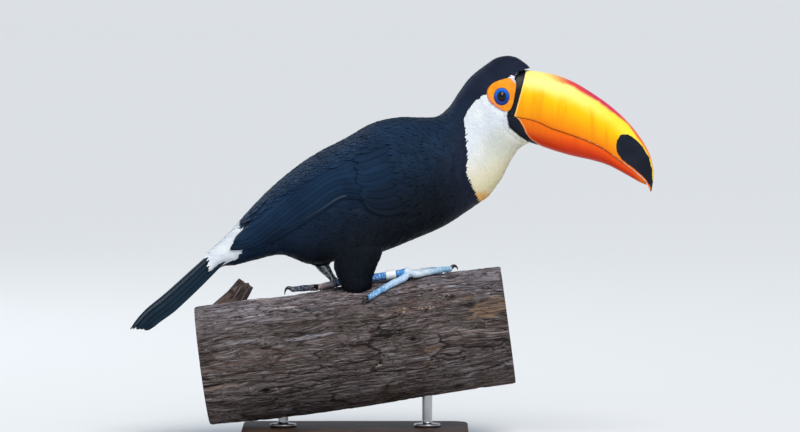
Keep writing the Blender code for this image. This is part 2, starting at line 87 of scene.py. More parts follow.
# Uneven field of about -1 to 1: a hashed number at each corner of a cubic lattice, blended between
# corners with smooth steps, plus octaves of half the size and half the strength.
def uneven(points, size, seed, octaves=3):
    total, strength = 0.0, 1.0
    for octave in range(octaves):
        place = points / np.asarray(size, float) * 2**octave + 31.7 * octave
        cell = np.floor(place).astype(np.int64)
        part = place - cell
        part = part * part * (3 - 2 * part)
        value = 0.0
        for corner in np.ndindex(2, 2, 2):
            number = (cell + corner) @ np.array([73856093, 19349663, 83492791]) + seed * 7919
            number = ((number ^ (number >> 13)) * 1274126177) & 0xFFFFFFFF
            height = ((number ^ (number >> 16)) & 0xFFFF) / 32767.5 - 1
            weight = np.where(corner, part, 1 - part).prod(axis=-1)
            value = value + height * weight
        total = total + strength * value
        strength *= 0.5
    return total


# Signed distance to a closed outline in the side view, less than 0 inside it.
def outlineDistance(points, outline):
    x, z = points[..., 0], points[..., 2]
    a = np.asarray(outline, float)
    nearest, inside = np.full(x.shape, 1e9), np.zeros(x.shape, bool)
    for (ax, az), (bx, bz) in zip(a, np.roll(a, -1, axis=0)):
        wide, tall = bx - ax, bz - az
        t = np.clip(((x - ax) * wide + (z - az) * tall) / (wide**2 + tall**2), 0, 1)
        nearest = np.minimum(nearest, np.hypot(x - ax - t * wide, z - az - t * tall))
        crosses = (az > z) != (bz > z)
        inside ^= crosses & (x < ax + (z - az) * wide / np.where(crosses, tall, 1))
    return np.where(inside, -nearest, nearest)


# Face corners of a grid of points with rows and cols, closed round its columns where wrapped.
def gridFaces(rows, cols, wrapped=False):
    r, c = gridOf(np.arange(rows - 1), np.arange(cols if wrapped else cols - 1))
    beside = (c + 1) % cols
    faces = stacked(r * cols + c, r * cols + beside, (r + 1) * cols + beside, (r + 1) * cols + c)
    return faces.reshape(-1, 4)


# Triangles from a ring of points to the one in its middle.
def fanFaces(count, start, middle):
    k = np.arange(count)
    return stacked(start + k, start + (k + 1) % count, middle)


# Numbers or vectors kept at a mesh's points.
def addMark(mesh, name, values):
    wide = values.size == 3 * len(mesh.vertices)
    attribute = mesh.attributes.new(name, "FLOAT_VECTOR" if wide else "FLOAT", "POINT")
    attribute.data.foreach_set("vector" if wide else "value", values.astype(np.float32).ravel())


# A mesh object from points in millimetres and arrays of face corners, each array with its own
# number of corners.
def newPiece(name, points, *faceArrays, **marks):
    mesh = bpy.data.meshes.new(name)
    corners = np.concatenate([faces.ravel() for faces in faceArrays])
    sizes = np.concatenate([np.full(len(faces), faces.shape[1]) for faces in faceArrays])
    mesh.vertices.add(points.size // 3)
    mesh.vertices.foreach_set("co", (points * mm).astype(np.float32).ravel())
    mesh.loops.add(len(corners))
    mesh.loops.foreach_set("vertex_index", corners.astype(np.int32))
    mesh.polygons.add(len(sizes))
    mesh.polygons.foreach_set("loop_start", np.concatenate([[0], np.cumsum(sizes)[:-1]]).astype(np.int32))
    for mark, values in marks.items():
        addMark(mesh, mark, values)
    mesh.update(calc_edges=True)
    mesh.validate()
    mesh.shade_smooth()
    piece = bpy.data.objects.new(name, mesh)
    bpy.context.scene.collection.objects.link(piece)
    return piece


# Turns every face of a closed mesh outwards.
def recalculate(piece):
    mesh = bmesh.new()
    mesh.from_mesh(piece.data)
    bmesh.ops.recalc_face_normals(mesh, faces=mesh.faces)
    mesh.to_mesh(piece.data)
    mesh.free()


# A grid's values in a row, then the middles of its first and last rings.
def withEnds(values):
    flat = values.reshape(-1, *values.shape[2:])
    return np.concatenate([flat, [values[0].mean(axis=0), values[-1].mean(axis=0)]])


def closedTube(grid):
    rows, cols = grid.shape[:2]
    ends = (fanFaces(cols, 0, rows * cols)[:, (1, 0, 2)], fanFaces(cols, (rows - 1) * cols, rows * cols + 1))
    return withEnds(grid), gridFaces(rows, cols, True), np.concatenate(ends)


# One mesh object of closed tubes, one to a grid of rings, each mark being a list with a grid to a tube.
def tubePiece(name, grids, **marks):
    points, faces, start = [], [], 0
    for grid in grids:
        own, around, ends = closedTube(grid)
        points.append(own)
        faces += [around + start, ends + start]
        start += len(own)
    marks = {mark: np.concatenate([withEnds(grid) for grid in parts]) for mark, parts in marks.items()}
    piece = newPiece(name, np.concatenate(points), *faces, **marks)
    recalculate(piece)
    return piece


def applyModifiers(piece):
    bpy.context.view_layer.update()
    graph = bpy.context.evaluated_depsgraph_get()
    made = bpy.data.meshes.new_from_object(piece.evaluated_get(graph))
    piece.modifiers.clear()
    old, piece.data = piece.data, made
    bpy.data.meshes.remove(old)


# Gives a sheet a wall behind its surface.
def thicken(piece, wall):
    modifier = piece.modifiers.new("thickness", "SOLIDIFY")
    modifier.thickness, modifier.offset = wall * mm, -1


# A map of the surface from one pair of numbers at each point.
def addMap(piece, name, pairs):
    corners = np.zeros(len(piece.data.loops), np.int32)
    piece.data.loops.foreach_get("vertex_index", corners)
    pairs = pairs.reshape(-1, 2)[corners].astype(np.float32)
    piece.data.uv_layers.new(name=name).data.foreach_set("uv", pairs.ravel())


def finishPiece(piece, material, slot, *nodes):
    piece.data.materials.clear()
    piece.data.materials.append(material)
    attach(piece, "root")
    if nodes:
        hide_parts(*nodes)
    return piece


# A material with constant values on its shader's sockets, and short ways to add nodes to it.
class Finish:
    def __init__(self, name, **sockets):
        self.material = bpy.data.materials.new(name)
        self.material.use_nodes = True
        self.tree = self.material.node_tree
        self.shader = self.tree.nodes["Principled BSDF"]
        for socket, value in sockets.items():
            self.shader.inputs[socket.replace("_", " ")].default_value = value
        self.place = self.add("ShaderNodeTexCoord").outputs["Object"]

    def set(self, target, value):
        if isinstance(value, bpy.types.NodeSocket):
            self.tree.links.new(value, target)
        elif value is not None:
            isColour = target.type == "RGBA" and isinstance(value, tuple)
            target.default_value = (*value, 1) if isColour else value

    def add(self, kind, inputs=None, **values):
        node = self.tree.nodes.new(kind)
        for key, value in values.items():
            setattr(node, key, value)
        for key, value in (inputs or {}).items():
            self.set(node.inputs[key], value)
        return node

    def mark(self, name, output="Fac"):
        return self.add("ShaderNodeAttribute", attribute_name=name).outputs[output]

    def axes(self, vector):
        return self.add("ShaderNodeSeparateXYZ", {0: vector}).outputs

    def math(self, operation, *values):
        return self.add("ShaderNodeMath", dict(enumerate(values)), operation=operation).outputs[0]

    def scaled(self, value, by, plus=0.0):
        return self.math("MULTIPLY_ADD", value, by, plus)

    # A value made uneven by a noise, as much up as down.
    def roughened(self, value, noise, width):
        return self.math("ADD", value, self.scaled(noise, width, -width / 2))

    def stretched(self, stretch, place):
        return self.add("ShaderNodeMapping", {"Scale": stretch, "Vector": place or self.place}).outputs[0]

    def noise(self, scale, detail=3.0, stretch=(1, 1, 1), place=None, distortion=0.0):
        inputs = {"Vector": self.stretched(stretch, place), "Scale": scale, "Detail": detail}
        return self.add("ShaderNodeTexNoise", {**inputs, "Distortion": distortion}).outputs[0]

    def cells(self, scale, feature="F1", stretch=(1, 1, 1), place=None):
        inputs = {"Vector": self.stretched(stretch, place), "Scale": scale}
        return self.add("ShaderNodeTexVoronoi", inputs, feature=feature).outputs["Distance"]

    # The share from 0 to 1 as a value goes from low to high.
    def between(self, value, low, high):
        inputs = {"Value": value, "From Min": low, "From Max": high}
        return self.add("ShaderNodeMapRange", inputs, interpolation_type="SMOOTHSTEP").outputs[0]

    def ramp(self, value, *stops):
        node = self.add("ShaderNodeValToRGB", {0: value})
        band = node.color_ramp
        while len(band.elements) < len(stops):
            band.elements.new(0.5)
        for element, (place, colour) in zip(band.elements, stops):
            element.position = place
            element.color = (*colour, 1)
        return node.outputs[0]

    def mix(self, share, first, second, blend="MIX"):
        inputs = {0: share, 6: first, 7: second}
        return self.add("ShaderNodeMix", inputs, data_type="RGBA", blend_type=blend).outputs[2]

    def tinted(self, colour, tint):
        return self.mix(1.0, colour, tint, "MULTIPLY")

    # Lays a tint over a colour, as far as each value is on its way from its low to its high.
    def over(self, colour, tint, *limits, by=None):
        share = by
        for limit in limits:
            part = self.between(*limit)
            share = part if share is None else self.math("MULTIPLY", part, share)
        return self.mix(share, colour, tint)

    def bump(self, height, distance, strength=1.0):
        inputs = {"Strength": strength, "Distance": distance, "Height": height}
        return self.add("ShaderNodeBump", inputs).outputs[0]

    def done(self, colour, roughness=None, normal=None):
        for name, value in (("Base Color", colour), ("Roughness", roughness), ("Normal", normal)):
            self.set(self.shader.inputs[name], value)
        return self.material


# The body's form
body = {
    "sections": (  # back x, z, belly x, z, half width
        (172.3, 360.2, 172.4, 289.1, 20.2), (155.2, 372.0, 161.0, 284.2, 23.5),
        (138.7, 371.5, 153.3, 274.5, 25.0), (123.2, 361.8, 147.4, 263.8, 25.5),
        (110.6, 351.1, 142.6, 254.1, 26.5), (99.9, 336.6, 135.8, 244.4, 29.0),
        (91.2, 323.5, 129.0, 236.0, 33.0), (79.5, 314.3, 121.2, 230.5, 38.0),
        (63.0, 313.3, 109.6, 222.5, 42.0), (41.7, 313.3, 86.3, 207.6, 44.0),
        (16.5, 307.5, 55.3, 194.0, 45.0), (-9.7, 292.9, 22.3, 181.4, 43.0),
        (-37.8, 278.4, -12.6, 174.6, 38.0), (-63.0, 260.9, -43.6, 170.5, 31.0),
        (-86.3, 240.6, -70.8, 179.5, 25.0), (-105.7, 220.2, -96.0, 174.8, 20.5),
        (-121.2, 202.7, -115.4, 169.8, 19.0), (-135.8, 188.8, -131.0, 167.0, 18.2),
    ),
    "fullness": 2.3,
    "bellyWeight": 0.07,
}
sides = {"left": 1, "right": -1}


# A point of the body at a section and a turn round it, 0 on the back and a quarter turn on the left:
# the section's middle, plus its half height times h, plus its half width times s * (1 - weight * h),
# where (s, h) is the superellipse |s|^p + |h|^p = 1 in that direction.
def bodyPoint(section, around, sections=body["sections"]):
    rows = rowsAt(sections, section)
    up, out = np.cos(around), np.sin(around)
    reach = (abs(up) ** body["fullness"] + abs(out) ** body["fullness"]) ** (-1 / body["fullness"])
    up, out = up * reach, out * reach
    x = (rows[..., 0] + rows[..., 2]) / 2 + up * (rows[..., 0] - rows[..., 2]) / 2
    z = (rows[..., 1] + rows[..., 3]) / 2 + up * (rows[..., 1] - rows[..., 3]) / 2
    return stacked(x, out * rows[..., 4] * (1 - body["bellyWeight"] * up), z)


# Tables over the side view, one number each millimetre, and their value at any x and z.
tableCorner = np.array([-150.0, 130.0])
tableShape = (340, 260)
tableX, tableZ = gridOf(*(start + np.arange(count) for start, count in zip(tableCorner, tableShape)))


def lookUp(table, x, z):
    i = np.clip(x - tableCorner[0], 0, tableShape[0] - 1.001)
    k = np.clip(z - tableCorner[1], 0, tableShape[1] - 1.001)
    i0, k0 = i.astype(int), k.astype(int)
    right, above = i - i0, k - k0
    low = table[i0, k0] * (1 - right) + table[i0 + 1, k0] * right
    high = table[i0, k0 + 1] * (1 - right) + table[i0 + 1, k0 + 1] * right
    return low * (1 - above) + high * above


# Half the body's width at each cell: of all sections, the one whose height line passes nearest.
def widthTable():
    rows = rowsAt(body["sections"], np.arange(0, len(body["sections"]) - 0.999, 0.04))
    middle = (rows[:, 0:2] + rows[:, 2:4]) / 2
    tall = (rows[:, 0:2] - rows[:, 2:4]) / 2
    width = np.zeros(tableShape)
    farthest, pastEnd = 9, 1.2  # a stray this large, or a height past this, is off the body
    for i in range(tableShape[0]):
        offset = stacked(tableX[i], tableZ[i])[:, None, :] - middle
        height = (offset * tall).sum(-1) / (tall**2).sum(-1)
        stray = np.linalg.norm(offset - tall * height[..., None], axis=-1) + 99 * (abs(height) > pastEnd)
        best = stray.argmin(axis=1)
        line = np.arange(len(best))
        h = np.clip(height[line, best], -1, 1)
        share = np.clip(1 - abs(h) ** body["fullness"], 0, 1) ** (1 / body["fullness"])
        inside = stray[line, best] < farthest
        width[i] = np.where(inside, rows[best, 4] * share * (1 - body["bellyWeight"] * h), 0)
    return width


def blurred(table, size):
    reach = int(3 * size)
    weights = np.exp(-0.5 * (np.arange(-reach, reach + 1) / size) ** 2)
    weights /= weights.sum()
    for axis in (0, 1):
        table = np.apply_along_axis(lambda line: np.convolve(np.pad(line, reach, "edge"), weights, "valid"),
                                    axis, table)
    return table


bodyWidth = widthTable()

wing = {
    "upper": ((94.1, 273.5), (82.5, 297.8), (58.2, 304.6), (29.1, 302.6), (-4.8, 286.1), (-35.9, 269.7),
              (-63.0, 251.2), (-86.3, 231.8), (-104.8, 214.4), (-116.4, 201.8)),
    "lower": ((95.1, 265.8), (89.2, 248.3), (74.7, 234.7), (53.4, 226.0), (24.2, 225.0), (-6.0, 239.5),
              (-35.9, 223.4), (-65.0, 205.5), (-90.2, 188.8), (-110.6, 184.3)),
    "edge": 1.6,
    "middle": 5.5,
}

wingLast = len(wing["upper"]) - 1


# The wing's place in the side view: straight across between its upper and lower edges.
def wingPlace(share, down):
    upper, lower = rowsAt(wing["upper"], share * wingLast), rowsAt(wing["lower"], share * wingLast)
    return upper + (lower - upper) * down[..., None]


# How far the folded wing stands over the body: most in its middle, least along its edges.
def wingCover(share, down):
    across = np.sin(np.pi * np.clip(down, 0, 1)) ** 0.6
    along = np.sin(np.pi * (0.08 + 0.84 * np.clip(share, 0, 1))) ** 0.4
    return wing["edge"] + (wing["middle"] - wing["edge"]) * across * along


# The wing's cover and its down numbers, spread over the side view's cells, and where the wing is.
def wingTables():
    share, down = gridOf(np.linspace(0, 1, 900), np.linspace(0, 1, 400))
    place = np.round(wingPlace(share, down) - tableCorner).astype(int)
    cell = place[..., 0] * tableShape[1] + place[..., 1]
    count = np.bincount(cell.ravel(), minlength=tableX.size)
    found = []
    for value in (wingCover(share, down), down):
        total = np.bincount(cell.ravel(), weights=value.ravel(), minlength=tableX.size)
        found.append((total / np.maximum(count, 1)).reshape(tableShape))
    return (*found, count.reshape(tableShape) > 0)


coverTable, downTable, onWing = wingTables()
# Shallow hollows in the plumage: a fold over the shoulder and the shade under the wing's bend.
creases = (((40.0, 276.5), (75.0, 282.5), 1.5, 2.6), ((38.0, 217.5), (72.0, 223.5), 2.4, 3.6),
           ((-8.0, 229.0), (26.0, 219.5), 1.4, 3.2))  # from, to, depth, width
creaseTable = np.zeros(tableShape)
for start, end, depth, width in creases:
    run = np.subtract(end, start)
    offset = stacked(tableX - start[0], tableZ - start[1])
    t = np.clip(offset @ run / (run @ run), 0, 1)
    stray = np.linalg.norm(offset - t[..., None] * run, axis=-1)
    deep = depth * np.sin(np.pi * (0.1 + 0.8 * t))
    creaseTable = np.maximum(creaseTable, deep * np.exp(-((stray / width) ** 2)))
coverTable = coverTable - creaseTable * onWing
# The cover carried on past the wing's outline, so that feathers may overhang it.
farCover, weight = coverTable.copy(), onWing.astype(float)
for _ in range(14):
    spread = [np.roll(farCover * weight, s, axis) for axis in (0, 1) for s in (-1, 1)]
    heavy = [np.roll(weight, s, axis) for axis in (0, 1) for s in (-1, 1)]
    filled = sum(spread) / np.maximum(sum(heavy), 1e-9)
    farCover = np.where(weight > 0, farCover, filled)
    weight = np.maximum(weight, (sum(heavy) > 0).astype(float))
softCover = blurred(np.where(onWing, coverTable, 0) * (1 - smoothStep(downTable, 0.35, 0.7)), 5)
print("form tables made")

# Markings of skin and coat, as outlines in the side view
markings = {
    "bib": ((128.0, 337.4), (119.2, 332.3), (110.3, 322.3), (106.4, 314.5), (107.0, 303.6),
            (108.1, 292.0), (109.2, 276.5), (108.6, 261.9), (112.5, 251.2), (117.0, 242.5),
            (120.9, 233.8), (131.0, 229.0), (200.0, 225.0), (200.0, 345.0), (160.0, 345.0)),
    "rump": ((-112.0, 216.0), (-126.0, 206.0), (-150.4, 181.0), (-172.0, 158.0), (-147.4, 168.5),
             (-133.9, 165.0), (-126.1, 169.6), (-115.4, 175.5), (-108.6, 182.0), (-106.0, 190.0),
             (-106.0, 200.0), (-110.0, 208.0)),
    "forehead": ((147.5, 352.8), (151.5, 354.6), (158.5, 357.2), (155.0, 343.5)),
    "bibRedFrom": 246.0,
    "bibRedFade": 9.0,
}
seat = ((184.0, 368.0), (170.7, 361.2), (159.1, 358.2), (155.2, 352.1), (152.3, 331.7), (149.9, 324.0),
        (147.4, 315.2), (149.4, 304.6), (158.6, 296.3), (167.8, 290.0), (181.0, 283.0))
facePatch = ((128.0, 337.6), (130.2, 343.3), (134.8, 347.3), (144.5, 350.7), (152.3, 352.1), (155.5, 348.0),
             (153.6, 336.0), (151.5, 326.0), (148.0, 319.5), (142.0, 322.0), (137.2, 325.4), (130.0, 330.8))


# The x of the bill's seat in the feathers, at a height.
def seatAt(z):
    line = np.array(seat)[::-1]
    return np.interp(z, line[:, 1], line[:, 0])


# Shares of white, cream and red at a point: inside the bib, the rump patch and the small spot over the
# lores it is white, more cream low on the throat, red along the bib's foot and under the tail.
def coatMarks(points):
    x, y, z = np.moveaxis(points, -1, 0)
    bib, rump, spot = (outlineDistance(points, markings[name]) < 0 for name in ("bib", "rump", "forehead"))
    cream = bib * smoothStep(0.5 * (x - 112) + 0.8 * (300 - z), 6, 56)
    red = bib * smoothStep(-z, -markings["bibRedFrom"], markings["bibRedFade"] - markings["bibRedFrom"])
    under = (x < -78) & (z < np.interp(x, (-135, -110, -78), (169.5, 172.5, 176.5))) & (abs(y) < 5.5)
    return stacked((bib | rump | spot) & ~under, cream, np.maximum(red, under))


# Small overlapping vanes on a surface that is a function of two numbers. Each vane's spine walks over
# the surface from its root in equal steps, its columns lie across the spine, and its height over the
# surface rises from `low` at the root to `high` at the tip. A heading of 0 follows the first number,
# `bend` turns it along the spine, `tilt` raises one edge over the next vane, and `shaft` the middle.
def layVanes(surface, first, second, style, seed, heading=0.0, sign=1, step=0.01):
    draw = np.random.default_rng(seed)
    count, rows, cols = len(first), style["rows"], style["cols"]
    length = style["length"] * (1 + style.get("vary", 0.12) * draw.standard_normal(count).clip(-2, 2))
    half = style["width"] / 2 * (1 + style.get("vary", 0.12) * draw.standard_normal(count).clip(-2, 2))
    heading = heading + np.radians(style["stray"]) * draw.standard_normal(count)
    high = style["high"] + style["loose"] * draw.standard_normal(count)
    bend = np.radians(style.get("bend", 0.0)) * sign / rows
    tilt, shaft = style.get("tilt", 0.0) * -sign, style.get("shaft", 0.0)
    ragged = draw.uniform(-1, 1, (count, cols))
    t, w = np.linspace(0, 1, rows), np.linspace(-1, 1, cols)
    outline = np.where(t < 0.5, 0.5 + 0.5 * np.sin(np.pi * t),
                       (1 - ((t - 0.5) / 0.53) ** 2).clip(0) ** style["blunt"])
    points, normals = np.empty((2, count, rows, cols, 3))
    first, second = first.copy(), second.copy()
    for r in range(rows):
        alongFirst = (surface(first + step, second) - surface(first - step, second)) / (2 * step)
        alongSecond = (surface(first, second + step) - surface(first, second - step)) / (2 * step)
        out = unit(np.cross(alongSecond, alongFirst)) * sign
        ahead = unit(alongFirst)
        ahead = ahead * np.cos(heading)[:, None] + np.cross(out, ahead) * np.sin(heading)[:, None]
        beside = np.cross(out, ahead)
        a, b, c = ((p * q).sum(-1) for p, q in
                   ((alongFirst, alongFirst), (alongFirst, alongSecond), (alongSecond, alongSecond)))
        scale = np.maximum(a * c - b * b, 1e-6)

        def numbersFor(move):
            d = (move * alongFirst[:, None]).sum(-1)
            e = (move * alongSecond[:, None]).sum(-1)
            return ((c[:, None] * d - b[:, None] * e) / scale[:, None],
                    (a[:, None] * e - b[:, None] * d) / scale[:, None])

        shift = (ragged * style["ragged"] * t[r] ** 2 - 0.75 * w**2 * t[r] ** 3) * half[:, None]
        move = beside[:, None] * (half[:, None] * outline[r] * w)[..., None]
        move = move + ahead[:, None] * shift[..., None]
        stepFirst, stepSecond = numbersFor(move)
        place = surface(first[:, None] + stepFirst, second[:, None] + stepSecond)
        rise = style["low"] + (high - style["low"]) * t[r] ** 1.2
        rise = rise[:, None] - style["camber"] * half[:, None] * w**2 + style["jag"] * ragged * t[r]
        rise = rise + tilt * w * min(1, 4 * t[r]) + shaft * np.maximum(0, 1 - 5 * abs(w)) * (1 - t[r])
        points[:, r] = place + out[:, None] * rise[..., None]
        normals[:, r] = unit(out[:, None] + beside[:, None] * (style.get("swell", 0.12) * w)[:, None])
        heading = heading + bend
        stepFirst, stepSecond = numbersFor((ahead * (length / (rows - 1))[:, None])[:, None])
        first, second = first + stepFirst[:, 0], second + stepSecond[:, 0]
    return {
        "points": points,
        "normals": normals,
        "across": half[:, None, None] * outline[:, None] * w,
        "along": np.broadcast_to((length[:, None] * t)[..., None], (count, rows, cols)),
        "tone": draw.standard_normal(count),
    }


# One piece of the coat from laid vanes: their grids side by side, with the marks of each vane's own
# colour, a map along and across each vane, and each vane's small patch at its root on the unwrapped
# skin. Vanes with a wall are thickened, and the others are shaded by their own normals.
def coatPiece(name, vanes, rootPlace, *nodes, colours=None, wall=None):
    points = vanes["points"]
    count, rows, cols = points.shape[:3]
    faces = gridFaces(rows, cols)[:, ::-1]
    faces = (faces[None] + (np.arange(count) * rows * cols)[:, None, None]).reshape(-1, 4)
    if colours is None:
        colours = coatMarks(points[:, int(rows * 0.6), cols // 2])
    if colours.ndim == 2:
        colours = colours[:, None, None]
    tone = np.broadcast_to(vanes["tone"][:, None, None], points.shape[:3])
    piece = newPiece(name, points, faces, coat=np.broadcast_to(colours, points.shape), tone=tone)
    if not wall:
        piece.data.normals_split_custom_set_from_vertices(vanes["normals"].reshape(-1, 3))
    addMap(piece, "vane", stacked(vanes["across"], vanes["along"]))
    patch = 0.003 * stacked(np.linspace(-0.5, 0.5, cols), np.linspace(-0.5, 0.5, rows)[:, None])
    addMap(piece, "OFBake", rootPlace[:, None, None] + patch)
    piece.data.uv_layers["OFBake"].active_render = True
    if wall:
        thicken(piece, wall)
    finishPiece(piece, coat, "black_feather", *nodes)


# Places along one row of roots as shares of its length: even, half a step on in every other row, and
# jittered.
def rowShares(draw, places, row, jitter, offset=0.0):
    return (np.arange(places) + 0.5 * (row % 2) + offset + draw.uniform(-jitter, jitter, places)) / places


# Roots in rings round the body at an even spacing, a step apart along its side and round each ring.
def rootsOnBody(start, end, spacing, seed, jitter=0.28):
    draw = np.random.default_rng(seed)
    fine = np.linspace(start, end, 400)
    travelled = travel(bodyPoint(fine, np.full(400, np.pi / 2)))
    around = np.linspace(0, turn, 361)
    found = []
    for k, section in enumerate(np.interp(np.arange(spacing / 2, travelled[-1], spacing), travelled, fine)):
        length = travel(bodyPoint(np.full(361, section), around))
        places = max(6, round(length[-1] / spacing))
        shares = rowShares(draw, places, k, jitter)
        angles = np.interp((shares % 1) * length[-1], length, around)
        step = bodyPoint(section + 0.01, np.pi / 2) - bodyPoint(section, np.pi / 2)
        wander = draw.uniform(-jitter, jitter, places) * spacing / (np.linalg.norm(step) / 0.01)
        found.append(stacked(section + wander, angles))
    return np.concatenate(found).T


def coatFinish():
    f = Finish("coat", Specular_IOR_Level=0.16, Specular_Tint=(0.55, 0.78, 1.0, 1))
    white, cream, red = f.axes(f.mark("coat", "Vector"))
    across, along, _ = f.axes(f.add("ShaderNodeUVMap", uv_map="vane").outputs[0])
    slant = f.math("SUBTRACT", along, f.scaled(f.math("ABSOLUTE", across), 1.4))
    barbs = f.math("SINE", f.scaled(slant, 13.0))
    clumps = f.noise(900, 2.0)
    x, _, z = f.axes(f.place)
    # painted sheen: the black turns bluer and lighter from the belly up to the back, standing in for the
    # sky's reflection on the upper plumage
    level = f.math("SUBTRACT", z, f.scaled(x, 0.55))
    black = f.over((0.0040, 0.0045, 0.0075), (0.0055, 0.0190, 0.0480), (level, 0.185, 0.268))
    black = f.over(black, (0.0110, 0.0145, 0.0330), (x, 0.075, 0.125))
    black = f.over(black, (0.0060, 0.0160, 0.0290), (x, -0.105, -0.135))
    patches = f.over((0.80, 0.80, 0.82), (1.15, 1.12, 1.10), (f.noise(38), 0.35, 0.65))
    odd = f.math("ADD", f.mark("tone"), f.scaled(clumps, 2.0))
    odd = f.over((0.92, 0.92, 0.92), (1.25, 1.22, 1.20), (odd, -0.5, 3.0))
    black = f.tinted(f.tinted(black, patches), odd)
    pale = f.over((0.72, 0.77, 0.84), (0.84, 0.88, 0.90), (f.noise(60), 0.3, 0.7))
    pale = f.mix(cream, pale, (0.88, 0.80, 0.50))
    # painted shade: a soft greyish-olive spot darkens the middle of the bib, where the throat's hollow falls
    # into shade
    ahead, above = f.math("SUBTRACT", x, 0.139), f.math("SUBTRACT", z, 0.289)
    away = f.math("SQRT", f.math("ADD", f.math("MULTIPLY", ahead, ahead), f.math("MULTIPLY", above, above)))
    pale = f.over(pale, (0.56, 0.58, 0.46), (away, 0.024, 0.006), by=0.45)
    warm = f.over((1.0, 0.50, 0.11), (1.0, 0.64, 0.22), (f.noise(300, 2.0), 0.3, 0.7))
    warm = f.over(warm, (0.62, 0.045, 0.02), (x, 0.02, 0.0))
    colour = f.mix(red, f.mix(white, black, pale), warm)
    colour = f.tinted(colour, f.scaled(barbs, 0.05, 0.97))
    height = f.math("ADD", f.scaled(barbs, 0.5), clumps)
    return f.done(colour, f.scaled(clumps, 0.14, 0.46), f.bump(height, 0.0001, 0.5))


coat = coatFinish()
print("coat finish made")

# Skin: the body's form with the wings' swell, the thighs and the coat's depth taken off, as one
skin = {"depth": 2.3, "voxel": 1.9, "smoothing": 4}
thighs = {  # level sections: x, y, z, half length, half width
    "right": ((10, -20, 216, 25, 20), (5.5, -20, 192, 25, 19), (0.5, -19.5, 171, 21.5, 16),
              (0, -18.5, 158, 17, 14), (1.5, -18.5, 150, 15, 12.5), (2.5, -18.5, 143.5, 10, 9)),
    "left": ((-12, 29, 212, 24, 15), (-22, 28, 197, 24, 15), (-29, 24.5, 184, 20, 14),
             (-34, 20.5, 175, 15, 12), (-34.5, 19, 170, 10, 9), (-31.5, 18.3, 166.5, 6.5, 6.5)),
}


# A point of a thigh: an ellipse in each level section, turned from the front round the bird's left.
def thighPoint(table, place, around, less=0.0):
    rows = rowsAt(table, place)
    x = rows[..., 0] + (rows[..., 3] - less) * np.cos(around)
    y = rows[..., 1] + (rows[..., 4] - less) * np.sin(around)
    return stacked(x, y, rows[..., 2])


def makeSkin():
    grid = bodyPoint(*gridOf(np.linspace(0.02, 17, 190), ringAngles(120)))
    middle = grid.mean(axis=1, keepdims=True)
    reach = np.linalg.norm(grid - middle, axis=-1, keepdims=True)
    grid = middle + (grid - middle) * (1 - np.minimum(0.4, skin["depth"] / reach))
    x, y, z = np.moveaxis(grid, -1, 0)
    y += np.sign(y) * lookUp(blurred(np.where(onWing, coverTable, 0), 1.5), x, z) * smoothStep(abs(y), 2, 9)
    x[:] = np.minimum(x, seatAt(z) - 1)
    trunk = tubePiece("skin", [grid])
    parts = [trunk]
    for side in sides:
        table = thighs[side]
        place, around = gridOf(np.linspace(0, 4.9, 40), ringAngles(48))
        less = 2.2 + 9 * smoothStep(rowsAt(table, place)[..., 2], 186, 208)
        parts.append(tubePiece(f"thighForm{side}", [thighPoint(table, place, around, less)]))
    with bpy.context.temp_override(active_object=trunk, selected_editable_objects=parts):
        bpy.ops.object.join()
    remesh = trunk.modifiers.new("one skin", "REMESH")
    remesh.mode, remesh.voxel_size = "VOXEL", skin["voxel"] * mm
    smooth = trunk.modifiers.new("soft", "SMOOTH")
    smooth.iterations, smooth.factor = skin["smoothing"], 0.5
    applyModifiers(trunk)
    places = np.zeros(len(trunk.data.vertices) * 3, np.float32)
    trunk.data.vertices.foreach_get("co", places)
    addMark(trunk.data, "coat", coatMarks(places.reshape(-1, 3) / mm))
    trunk.data.shade_smooth()
    return trunk


def skinFinish():
    f = Finish("skin", Specular_IOR_Level=0.12)
    white, _, red = f.axes(f.mark("coat", "Vector"))
    pits = f.noise(420)
    colour = f.over((0.0045, 0.0060, 0.0110), (0.0080, 0.0115, 0.0190), (pits, 0.35, 0.65))
    colour = f.mix(red, f.mix(white, colour, (0.74, 0.74, 0.72)), (0.55, 0.10, 0.04))
    x, _, z = f.axes(f.place)
    colour = f.over(colour, (0.80, 0.27, 0.006), (x, 0.1465, 0.1490), (z, 0.3225, 0.3245),
                    (z, 0.3515, 0.3500))
    return f.done(colour, f.between(pits, -0.9, 1.3), f.bump(pits, 0.0004, 0.5))


finishPiece(makeSkin(), skinFinish(), "black_feather", "head", "neck", "trunk", "wing_left", "wing_right",
            "thigh_left", "thigh_right")
print("skin made")

# Contour feathers, in tables of numbers in millimetres, degrees and shares
styleNames = ("length", "width", "rows", "cols", "low", "high", "loose", "camber", "jag", "stray", "blunt",
              "ragged")


def featherStyle(*values, **others):
    return {**dict(zip(styleNames, values)), **others}


feathers = {
    "face": featherStyle(4.6, 1.7, 5, 3, -0.7, -0.05, 0.05, 0.06, 0.03, 6, 0.5, 0.3, spacing=1.15),
    "head": featherStyle(6.5, 2.4, 6, 3, -0.8, -0.05, 0.05, 0.06, 0.03, 5, 0.45, 0.25, spacing=1.55),
    "bib": featherStyle(8.0, 1.9, 7, 3, -0.9, 0.0, 0.06, 0.07, 0.04, 6, 0.6, 0.4, spacing=1.35),
    "mantle": featherStyle(12.0, 4.6, 7, 5, -0.9, 0.0, 0.05, 0.035, 0.03, 4, 0.40, 0.25, spacing=2.3),
    "trunk": featherStyle(17.0, 6.4, 9, 5, -1.1, 0.05, 0.07, 0.035, 0.04, 5, 0.42, 0.3, spacing=3.15),
    "scapular": featherStyle(24.0, 9.5, 9, 5, -1.1, 0.3, 0.06, 0.03, 0.04, 4, 0.40, 0.15, spacing=4.2),
}
# The body carried on over the tail's root, for the feathers that cover it.
longBody = (*body["sections"], (-154.5, 173.6, -146.5, 152.0, 20.0), (-174.0, 156.0, -166.0, 136.0, 22.0))


